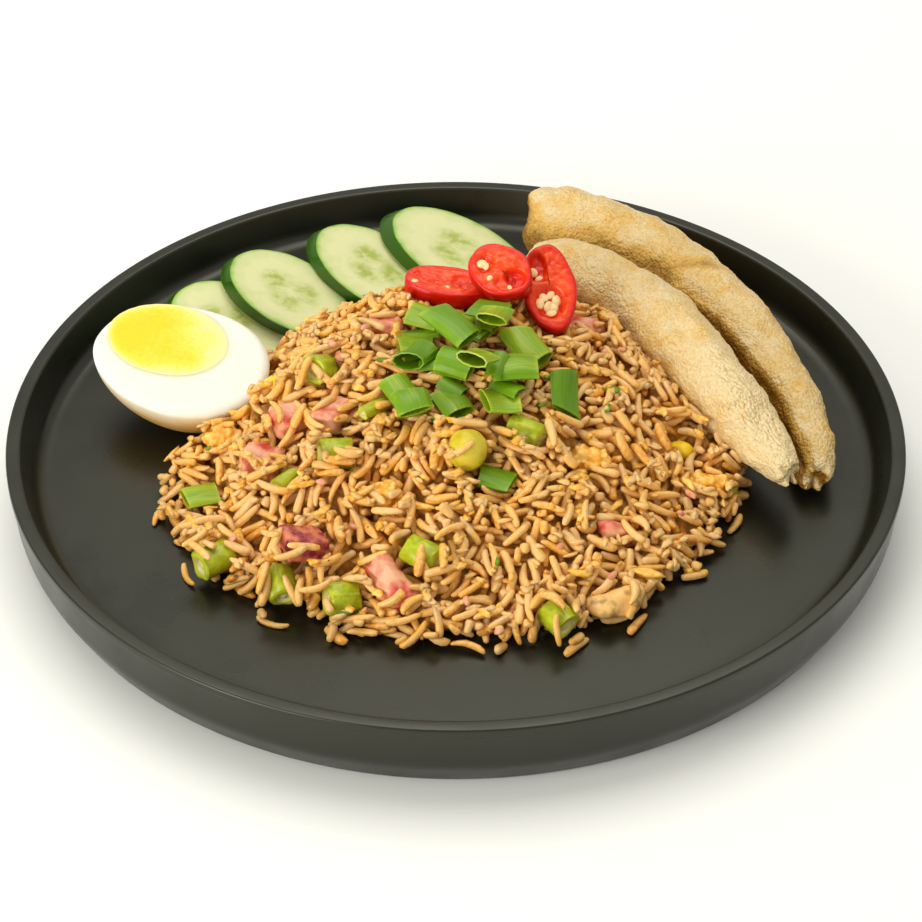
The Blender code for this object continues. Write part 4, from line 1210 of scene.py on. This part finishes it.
# Bits on the rice: name, roughness, count, sizes in millimetres, material and slot.
CRUMBS = (
    ("rice_crumbs", 0.6, 560, ((1.0, 2.4), (0.7, 1.2), (0.5, 0.9)), "rice", "fried_rice"),
    ("egg_crumbs", 0.7, 130, ((0.7, 2.2), (0.6, 1.4), (0.4, 0.9)), "egg", "scrambled_egg"),
    ("egg_shreds", 0.7, 30, ((2.4, 4.6), (0.9, 1.7), (0.5, 1.0)), "egg", "scrambled_egg"),
    ("ham_crumbs", 0.5, 30, ((0.9, 2.4), (0.8, 1.4), (0.6, 1.0)), "ham", "ham"),
    ("leaf_crumbs", 0.5, 16, ((1.0, 2.4), (0.7, 1.4), (0.3, 0.5)), "leaf", "spring_onion"),
    ("browned_crumbs", 0.6, 70, ((0.5, 1.4), (0.4, 0.9), (0.3, 0.7)), "browned", "fried_rice"),
    ("pepper_specks", 0.5, 90, ((0.2, 0.4), (0.2, 0.35), (0.2, 0.3)), "pepper", "fried_rice"),
)
SMALL_TOPPINGS = ("green_bean", "pea", "ham", "scrambled_egg", "sweetcorn", "browned_piece")


class Ground:
    """Heights over a square grid, which rise as grains are laid."""

    count = int(round(2 * HALF / CELL)) + 1

    def __init__(self):
        self.heights = np.zeros((self.count, self.count))

    def places(self):
        line = np.arange(self.count) * CELL - HALF
        return np.meshgrid(line, line)

    def index(self, x, y):
        """The row and column of the cell at a place."""
        cells = (np.round((value + HALF) / CELL).astype(int) for value in (y, x))
        return tuple(np.clip(cell, 0, self.count - 1) for cell in cells)

    def read(self, tree, start, direction, missing):
        """Set each height to where a ray up or down from a start meets a shape."""
        xs, ys = self.places()
        way = Vector((0, 0, direction))
        flat = self.heights.ravel()
        for k, (x, y) in enumerate(zip(xs.ravel(), ys.ravel())):
            hit = tree.ray_cast(Vector((x, y, start)), way)[0]
            flat[k] = missing if hit is None else hit.z
        return self


def tree_of_solids(names):
    """A search tree over the faces of some solids."""
    points, faces = [], []
    for name in names:
        mesh = NODES[name].data
        start = len(points)
        points.extend(v.co.copy() for v in mesh.vertices)
        faces.extend([start + k for k in polygon.vertices] for polygon in mesh.polygons)
    return BVHTree.FromPolygons(points, faces)


def smooth_map(values, inside, passes):
    """Average each cell inside a region with its neighbours inside it."""
    values = np.where(inside, values, 0.0)
    count = sum(np.roll(inside.astype(float), s, a) for a in (0, 1) for s in (-1, 0, 1))
    for _ in range(passes):
        total = sum(np.roll(values, s, a) for a in (0, 1) for s in (-1, 0, 1))
        values = np.where(inside, total / np.maximum(count, 1), 0.0)
    return values


# Each kind of grain: how much it bends, in millimetres, and how short it is where it is broken.
BENDS = {"whole": 0.35, "bent": 1.15, "broken": 0.2, "scrap": 0.1}
SHORTS = {"broken": (0.45, 0.72), "scrap": (0.28, 0.4)}


def grain_shapes(settings):
    """Shapes of grains: kind, points, triangles, half length, radius and bend of each."""
    shapes = []
    rng = random.Random(5)
    for kind in ("whole",) * 6 + ("bent",) * 5 + ("broken",) * 4 + ("scrap",) * 4:
        half = settings.grain_length / 2 * rng.uniform(0.78, 1.12)
        if kind in SHORTS:
            half *= rng.uniform(*SHORTS[kind])
        radius = settings.grain_width / 2 * rng.uniform(0.86, 1.10)
        bend = BENDS[kind] * MM * rng.uniform(0.5, 1.2)
        taper = rng.uniform(-0.2, 0.2)
        ends = (rng.uniform(0.4, 0.8), rng.uniform(0.4, 0.65))
        flute = rng.uniform(0.03, 0.11)
        bm = bmesh.new()
        bmesh.ops.create_uvsphere(bm, u_segments=8, v_segments=7, radius=1.0)
        bmesh.ops.rotate(bm, verts=bm.verts, matrix=Matrix.Rotation(math.pi / 2, 3, "Y"))
        for vert in bm.verts:
            x, y, z = vert.co
            ring = max(math.hypot(y, z), 1e-6)
            full = min(1.0, ring * 1.15) ** ends[x > 0] / ring
            swell = 1 + taper * x + 0.15 * ripple((x * 2.5, y * 1.6, z * 1.6), 1.0, half * 900)
            swell *= 1 + 0.10 * math.cos(2 * math.atan2(z, y) + bend * 3000 + x)
            swell *= 1 + flute * math.cos(4 * math.atan2(z, y)) * (1 - x * x)
            across = y * full * radius * swell + bend * (x * x - 0.5)
            up = z * full * radius * swell * 0.88 + 0.3 * bend * x * (1 - x * x)
            vert.co = Vector((x * half, across, up))
        shapes.append((kind, *mesh_arrays(bm), half, radius, bend))
    return shapes


def mesh_arrays(bm):
    """A shape's points and triangles as arrays."""
    bmesh.ops.triangulate(bm, faces=bm.faces)
    bm.verts.index_update()
    faces = np.array([[v.index for v in f.verts] for f in bm.faces])
    points = points_of(bm)
    bm.free()
    return points, faces


def lump_shapes(seed, rough):
    """A few uneven lumps, as points and triangles."""
    shapes = []
    for k in range(6):
        bm = bmesh.new()
        bmesh.ops.create_icosphere(bm, subdivisions=2, radius=1.0)
        for vert in bm.verts:
            broad, fine = ripple(vert.co, 0.8, seed + k), ripple(vert.co, 0.4, k)
            vert.co *= 1 + rough * broad + rough * 0.5 * fine
        shapes.append(mesh_arrays(bm))
    return shapes


def add_joined(name, parts, look, slot, attribute=None):
    """One piece from many small shapes, given as points, triangles and a value each."""
    counts = np.cumsum([0] + [len(points) for points, _, _ in parts])
    points = np.concatenate([part[0] for part in parts])
    faces = np.concatenate([part[1] + start for part, start in zip(parts, counts)])
    mesh = bpy.data.meshes.new(name)
    mesh.from_pydata(points.tolist(), [], faces.tolist())
    if attribute:
        values = np.concatenate([np.broadcast_to(part[2], len(part[0])) for part in parts])
        made = mesh.attributes.new(attribute, "FLOAT", "POINT")
        made.data.foreach_set("value", values.astype(np.float32))
    add_piece(name, mesh, look, slot)


def lay_grain(ground, low, high, ceiling, shape, x, y, yaws, jitter, proud):
    """Rest a grain on the ground, in whichever of its directions lies closest: its middle's height,
    yaw, slope and line, or None where it would run into a piece or stand proud of the ceiling."""
    half, radius, bend = shape[3:]

    # The grain's line in each direction, and the highest ground below its width along it.
    share = np.linspace(-0.9, 0.9, 7)
    along = share * half
    aside = bend * (share * share - 0.5)
    cos, sin = np.cos(yaws)[:, None], np.sin(yaws)[:, None]
    px = x + along * cos - aside * sin
    py = y + along * sin + aside * cos
    support = np.full(px.shape, -1.0)
    for offset in (-0.55, 0.0, 0.55):
        i, j = ground.index(px - sin * offset * radius, py + cos * offset * radius)
        support = np.maximum(support, ground.heights[i, j] - abs(offset) * radius * 0.3)

    # It leans as the ground does, and rests where that is highest.
    middle = support.mean(axis=1, keepdims=True)
    slope = (along * (support - middle)).sum(axis=1) / (along * along).sum()
    slope = (np.clip(slope, -1.1, 1.1) + jitter)[:, None]
    contact = np.sort(support - slope * along, axis=1)
    height = contact[:, -2:].mean(axis=1, keepdims=True) + radius * 0.6
    z = height + slope * along

    # It may not run into a piece or stand proud, and the direction with the smallest gap is best.
    i, j = ground.index(px, py)
    blocked = (z + radius * 0.7 > low.heights[i, j]) & (z - radius * 0.7 < high.heights[i, j])
    blocked |= z + radius - ceiling.heights[i, j] > proud
    gap = (z - radius - support).mean(axis=1) + blocked.any(axis=1)
    best = int(gap.argmin())
    if gap[best] > 0.5:
        return None
    return height[best, 0], yaws[best], slope[best, 0], px[best], py[best], z[best]


def press_in(ground, px, py, z, radius):
    """Raise the ground to the top of a grain."""
    fine = np.linspace(0, 6, 22)
    xs, ys, zs = (np.interp(fine, range(7), values) for values in (px, py, z))
    reach = int(math.ceil(radius / CELL))
    steps = np.arange(-reach, reach + 1)
    dx, dy = (a.ravel() for a in np.meshgrid(steps, steps))
    away = np.hypot(dx, dy) * CELL
    keep = away < radius
    dx, dy, away = dx[keep], dy[keep], away[keep]
    top = np.sqrt(radius**2 - away**2)
    i, j = ground.index(xs, ys)
    rows = np.clip(i[:, None] + dy[None], 0, ground.count - 1)
    columns = np.clip(j[:, None] + dx[None], 0, ground.count - 1)
    np.maximum.at(ground.heights, (rows, columns), zs[:, None] + top[None])


def placed(points, x, y, height, yaw, slope, roll):
    """A grain's points, turned and moved to its place."""
    turn = turned(3, Z=yaw, Y=-math.atan(slope), X=roll)
    return points @ np.array(turn).T + np.array((x, y, height))


def shrink_map(inside, cells):
    """The cells of a region that lie further than some cells from its edge."""
    for _ in range(cells):
        inside = inside & np.roll(inside, 1, 0) & np.roll(inside, -1, 0)
        inside = inside & np.roll(inside, 1, 1) & np.roll(inside, -1, 1)
    return inside


def spread_map(heights, cells):
    """The greatest height within some cells of each cell."""
    for _ in range(cells):
        for axis in (0, 1):
            beside = np.maximum(np.roll(heights, 1, axis), np.roll(heights, -1, axis))
            heights = np.maximum(heights, beside)
    return heights


def rice_bed(ground, bed, floor):
    """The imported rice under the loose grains: a sheet of fine squares on the bed, closed below."""
    bm = bmesh.new()
    bmesh.ops.create_grid(bm, x_segments=140, y_segments=140, size=HALF)
    outside = [v for v in bm.verts if not bed[ground.index(v.co.x, v.co.y)]]
    bmesh.ops.delete(bm, geom=outside, context="VERTS")
    top = list(bm.verts)
    for vert in top:
        vert.co.z = ground.heights[ground.index(vert.co.x, vert.co.y)]
    for vert in points_in(bmesh.ops.extrude_face_region(bm, geom=list(bm.faces))["geom"]):
        vert.co.z = floor
    for vert in top:
        relief = 0.5 * ripple(vert.co, 2.6 * MM) + 0.35 * ripple(vert.co, 1.4 * MM)
        vert.co.z = max(floor, vert.co.z + relief * MM)
    return bm


def near(region, cells):
    """A region grown by some cells on every side."""
    return ~shrink_map(~region, cells)


def scatter_bits(name, bits, count, sizes, ground, cells, rng, look, slot):
    """Small lumps of one kind, lying on the grains in loose clusters."""
    xs, ys = (a.ravel() for a in ground.places())
    lumps = lump_shapes(len(name), bits)
    weight = np.array([math.exp(3 * ripple((xs[k], ys[k], 0), 14 * MM, count)) for k in cells[::7]])
    parts = []
    for k in rng.choice(cells[::7], count, p=weight / weight.sum()):
        points, faces = lumps[rng.integers(len(lumps))]
        size = np.array([rng.uniform(*span) for span in sizes]) * MM
        turn = turned(3, Z=rng.uniform(0, 6.28), X=rng.normal(0, 0.3))
        place = np.array((xs[k], ys[k], ground.heights.flat[k] - size[2] * 0.2))
        parts.append((points * size @ np.array(turn).T + place, faces, rng.normal(0.25, 0.15)))
    add_joined(name, parts, look, slot, "tone")


def join_grains(laid, ground, target, floor, look, rng):
    """One piece from the grains of each kind, each with its own tone, with painted shade making
    grains deep in the heap darker and painted light making each grain paler on top than below.
    """
    for kinds, label in GRAIN_PIECES:
        parts = []
        for shape, x, y, height, yaw, slope in laid:
            if shape[0] in kinds:
                spots = placed(shape[1], x, y, height, yaw, slope, rng.uniform(-1.0, 1.0))
                spots[:, 2] = np.maximum(spots[:, 2], floor)
                patch = 0.16 * ripple((x, y, 0), 16 * MM, 2)
                # Painted shade: the deeper a grain lies below the heap's surface, the browner it is
                # made.
                deep = max(0.0, target[ground.index(x, y)] - height) / (8 * MM)
                tone = min(0.24, max(-0.4, rng.normal(0.03, 0.16) + patch)) - 0.12 * deep
                # Painted light: each grain's upper points are made paler and its lower points
                # browner.
                raised = np.clip((spots[:, 2] - height) / shape[4], -1.0, 1.0)
                parts.append((spots, shape[2], tone + 0.09 * raised))
        add_joined(label, parts, look, "fried_rice", "tone")


def scatter_crumbs(settings, garnish, ground, cells, look, rng):
    """Crumbs, shreds and specks of what is in the rice, lying on it."""
    bits = {"rice": look}
    for kind, name, low_tone, high_tone, spread, patch, bump in (
        ("egg", "egg_crumb", garnish.egg_bit, garnish.egg_bit_pale, 0.1, 1.5, 0.3),
        ("ham", "ham_crumb", garnish.ham, garnish.ham_pale, 0.15, 3, 0.2),
        ("leaf", "leaf_crumb", garnish.onion_dark, garnish.onion, 0.1, 3, 0.1),
        ("browned", "browned_crumb", settings.core, settings.brown, 0.1, 1, 0.2),
        ("pepper", "ground_pepper", settings.pepper, settings.core, 0.1, 0.5, 0.1),
    ):
        tones = ((0.5 - spread, low_tone), (0.5 + spread, high_tone))
        bits[kind] = moist_food(name, tones, patch, bump)
    for name, rough, count, sizes, kind, slot in CRUMBS:
        scatter_bits(name, rough, count, sizes, ground, cells, rng, bits[kind], slot)


def make_rice(settings):
    """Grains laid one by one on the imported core, each where it comes to rest, and crumbs on top."""
    rng = np.random.default_rng(12)
    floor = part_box("rice_heap")[0].z
    small = [n for n in NODES if n.rstrip("_0123456789") in SMALL_TOPPINGS]
    toppings = [n for n in NODES if n not in ("plate", "rice_heap")]

    def tops(names, missing=-1.0):
        """The greatest height of some solids over each cell."""
        return Ground().read(tree_of_solids(names), HALF, -1, missing)

    heap = tops(["rice_heap"], 0.0)
    high = tops(toppings)
    low = Ground().read(tree_of_solids(toppings), floor - MM, 1, 1.0)
    small_tops = tops(small)
    inside = heap.heights > 0

    # The heap's surface: it banks up against the small pieces and against the front sausage.
    target = smooth_map(heap.heights, inside, SMOOTHING)
    covers = small_tops.heights > 0
    beside = near(covers, BANK_CELLS) & ~covers & inside
    target = smooth_map(target + np.where(beside, BANK, SWELL), inside, 2)
    side = tops(["fish_sausage_2"]).heights > 0
    for cells in (4, 8, 12, 16):
        raised = near(side, cells) & inside & (target > floor + 8 * MM)
        target += np.where(raised, STEP, 0.0)

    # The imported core, which lies deeper than the grains' layer and ends inside the heap's edge.
    ground = Ground()
    bed = shrink_map(inside, 8)
    share = np.minimum(1.0, (target - floor) / (1.6 * settings.layer))
    sunk = target - settings.layer * share
    ground.heights = np.where(bed, np.maximum(sunk, floor), floor)
    core = rice_bed(ground, bed, floor)
    add_piece("rice_core", core, rice_core(settings), "fried_rice", ["rice_heap"])

    ceiling = Ground()
    ceiling.heights = np.maximum(target, floor + 1.2 * MM)
    every = grain_shapes(settings)
    scraps = [shape for shape in every if shape[0] == "scrap"]
    shapes = [shape for shape in every if shape[0] != "scrap"]
    longs = [shape for shape in shapes if shape[0] != "broken"]
    laid = []
    xs, ys = (a.ravel() for a in ground.places())

    def lay(x, y, proud, tilt=0.0, among=shapes, ways=8):
        """Lay one grain, which may stand proud of the heap's surface by so much, if it fits."""
        shape = among[rng.integers(len(among))]
        yaws = rng.uniform(0, 2 * math.pi, ways)
        jitter = rng.normal(0, tilt, ways)
        found = lay_grain(ground, low, high, ceiling, shape, x, y, yaws, jitter, proud)
        if found:
            height, yaw, slope, px, py, z = found
            press_in(ground, px, py, z, shape[4])
            laid.append((shape, x, y, height, yaw, slope))
        return found

    def heap_up(lacking, enough, proud, tilt, among, zone):
        """Lay grains where the heap lacks so much height, until so few cells are left to fill."""
        failed = np.zeros(inside.shape, dtype=int)
        for _ in range(settings.rounds):
            lack = np.where(zone & (failed < TRIES), target - ground.heights, 0.0).ravel()
            open_cells = np.flatnonzero(lack > lacking)
            if len(open_cells) < enough:
                break
            tried = rng.choice(open_cells, 36)
            for k in tried[np.argsort(-lack[tried])][:14]:
                if not lay(xs[k], ys[k], proud, tilt, among):
                    failed.flat[k] += 1

    # Long grains first, then any, and scraps where only they fit.
    heap_up(0.2 * MM, 200, proud=2.4 * MM, tilt=0.12, among=longs, zone=shrink_map(inside, 3))
    heap_up(0.4 * MM, 80, proud=2.2 * MM, tilt=0.2, among=shapes, zone=inside)
    heap_up(0.7 * MM, 60, proud=2.0 * MM, tilt=0.3, among=scraps, zone=inside)

    # Some grains lie over the edges of the small pieces, which now count as ground.
    clear = tops([n for n in toppings if n not in small])
    edge_cells = np.flatnonzero(near(covers, 4) & ~shrink_map(covers, 2))
    np.maximum(ground.heights, small_tops.heights, out=ground.heights)
    np.maximum(ceiling.heights, spread_map(small_tops.heights, 9), out=ceiling.heights)
    high.heights = clear.heights
    low.heights = np.where(clear.heights > 0, low.heights, 1.0)
    for k in rng.choice(edge_cells, settings.over_toppings):
        lay(xs[k], ys[k], proud=1.9 * MM)

    # Loose grains on top, and stray ones just outside the heap.
    inside_cells = np.flatnonzero(inside & ~covers & (clear.heights < 0))
    rim_cells = np.flatnonzero(inside & ~shrink_map(inside, 1))
    centre = np.array((xs[inside_cells].mean(), ys[inside_cells].mean()))
    for k in rng.choice(inside_cells, settings.loose):
        lay(xs[k], ys[k], proud=3.6 * MM, tilt=0.1, among=longs)
    for k in rng.choice(rim_cells, settings.stray):
        out = np.array((xs[k], ys[k])) - centre
        x, y = centre + out * (1 + rng.uniform(0.0, 2.0) * MM / np.linalg.norm(out))
        if math.hypot(x, y) < REACH:
            lay(x, y, proud=2.8 * MM, ways=4)

    look = fried_rice(settings)
    join_grains(laid, ground, target, floor, look, rng)
    garnish = bpy.context.scene.nasi_garnish
    scatter_crumbs(settings, garnish, ground, inside_cells, look, rng)


# Stage

# The light's colour, and each lamp's name, place, size and power.
LIGHT = (1.0, 0.985, 0.91)
LAMPS = (
    ("key", (-0.08, 0.45, 1.3), 1.1, 10.6),
    ("fill", (-1.05, -0.95, 0.42), 0.9, 17.0),
)
# The width of the frame, how far the plate is shifted in it, and where the camera looks.
FRAME_WIDTH = 922
SHIFT = (5.2, -39.4)
LOOK_AT = (0, 0, 0.0231)


def make_stage(settings):
    """A white table, soft daylight from behind and the left, and the camera."""
    scene = bpy.context.scene
    scene.view_settings.view_transform = "Standard"
    bm = bmesh.new()
    bmesh.ops.create_grid(bm, x_segments=1, y_segments=1, size=3.0)
    mesh = bpy.data.meshes.new("table")
    bm.to_mesh(mesh)
    bm.free()
    table = bpy.data.objects.new("table", mesh)
    scene.collection.objects.link(table)
    table.location.z = -0.2 * MM
    card = Look("white_card", 0.9)
    card.connect(card.shader, {"Base Color": settings.table})
    mesh.materials.append(card.made)
    table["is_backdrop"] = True

    world = bpy.data.worlds.new("studio")
    world.use_nodes = True
    scene.world = world
    background = world.node_tree.nodes["Background"]
    background.inputs["Color"].default_value = (*LIGHT, 1)
    background.inputs["Strength"].default_value = 0.6

    for name, place, size, power in LAMPS:
        light = bpy.data.lights.new(name, "AREA")
        light.size = size
        light.color = LIGHT
        light.energy = power
        lamp = bpy.data.objects.new(name, light)
        lamp.location = place
        lamp.rotation_euler = (-Vector(place)).to_track_quat("-Z", "Y").to_euler()
        scene.collection.objects.link(lamp)

    camera = bpy.data.cameras.new("camera")
    camera.lens = settings.lens
    camera.sensor_width = 36
    camera.shift_x, camera.shift_y = (part / FRAME_WIDTH for part in SHIFT)
    eye = bpy.data.objects.new("camera", camera)
    up = settings.elevation
    away = Vector((0, -math.cos(up), math.sin(up))) * settings.distance
    eye.location = Vector(LOOK_AT) + away
    eye.rotation_euler = (math.pi / 2 - up, 0, 0)
    scene.collection.objects.link(eye)
    scene.camera = eye


# Add-on


class NASI_OT_plate(Operator):
    """Turn the round plate"""

    bl_idname = "nasi.plate"
    bl_label = "Plate"

    def execute(self, context):
        make_plate(context.scene.nasi_plate)
        return {"FINISHED"}


class NASI_OT_egg(Operator):
    """Shape the half boiled egg and its yolk"""

    bl_idname = "nasi.egg"
    bl_label = "Boiled Egg"

    def execute(self, context):
        make_egg(context.scene.nasi_egg)
        return {"FINISHED"}


class NASI_OT_cucumbers(Operator):
    """Cut the slices of cucumber"""

    bl_idname = "nasi.cucumbers"
    bl_label = "Cucumber"

    def execute(self, context):
        make_cucumbers(context.scene.nasi_cucumber)
        return {"FINISHED"}


class NASI_OT_sausages(Operator):
    """Shape the fried fish sausages"""

    bl_idname = "nasi.sausages"
    bl_label = "Fish Sausages"

    def execute(self, context):
        make_sausages(context.scene.nasi_sausage)
        return {"FINISHED"}


class NASI_OT_chillies(Operator):
    """Cut the slices of chilli"""

    bl_idname = "nasi.chillies"
    bl_label = "Chilli"

    def execute(self, context):
        make_chillies(context.scene.nasi_garnish)
        return {"FINISHED"}


class NASI_OT_onions(Operator):
    """Cut the lengths of spring onion"""

    bl_idname = "nasi.onions"
    bl_label = "Spring Onion"

    def execute(self, context):
        make_onions(context.scene.nasi_garnish)
        return {"FINISHED"}


class NASI_OT_beans(Operator):
    """Cut the beans and shape the pea"""

    bl_idname = "nasi.beans"
    bl_label = "Beans and Pea"

    def execute(self, context):
        make_beans(context.scene.nasi_garnish)
        return {"FINISHED"}


class NASI_OT_soft_pieces(Operator):
    """Shape the ham, scrambled egg, sweetcorn and browned piece"""

    bl_idname = "nasi.soft_pieces"
    bl_label = "Ham, Egg and Corn"

    def execute(self, context):
        make_soft_pieces(context.scene.nasi_garnish)
        return {"FINISHED"}


class NASI_OT_rice(Operator):
    """Heap the rice grain by grain"""

    bl_idname = "nasi.rice"
    bl_label = "Fried Rice"

    def execute(self, context):
        make_rice(context.scene.nasi_rice)
        return {"FINISHED"}


class NASI_OT_stage(Operator):
    """Set the table, the light and the camera"""

    bl_idname = "nasi.stage"
    bl_label = "Stage"

    def execute(self, context):
        make_stage(context.scene.nasi_stage)
        return {"FINISHED"}


OPERATORS = (
    NASI_OT_plate,
    NASI_OT_egg,
    NASI_OT_cucumbers,
    NASI_OT_sausages,
    NASI_OT_chillies,
    NASI_OT_onions,
    NASI_OT_beans,
    NASI_OT_soft_pieces,
    NASI_OT_rice,
    NASI_OT_stage,
)


class NASI_PT_panel(Panel):
    """The pieces of the plate, and their sizes and colours."""

    bl_idname = "NASI_PT_panel"
    bl_label = "Nasi Goreng"
    bl_space_type = "VIEW_3D"
    bl_region_type = "UI"
    bl_category = "Nasi Goreng"

    def draw(self, context):
        for made in OPERATORS:
            self.layout.operator(made.bl_idname)
        for name, group in SETTINGS.items():
            box = self.layout.box()
            for field in group.__annotations__:
                box.prop(getattr(context.scene, name), field)


def register():
    for cls in (*SETTINGS.values(), *OPERATORS, NASI_PT_panel):
        bpy.utils.register_class(cls)
    for name, group in SETTINGS.items():
        setattr(bpy.types.Scene, name, PointerProperty(type=group))


def unregister():
    for name in SETTINGS:
        delattr(bpy.types.Scene, name)
    for cls in reversed((*SETTINGS.values(), *OPERATORS, NASI_PT_panel)):
        bpy.utils.unregister_class(cls)


def main():
    register()
    for made in OPERATORS:
        getattr(bpy.ops.nasi, made.bl_idname.split(".")[1])()
    corners = [list(corner) for corner in (*CAD_BOX, *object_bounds())]


if __name__ == "__main__":
    main()
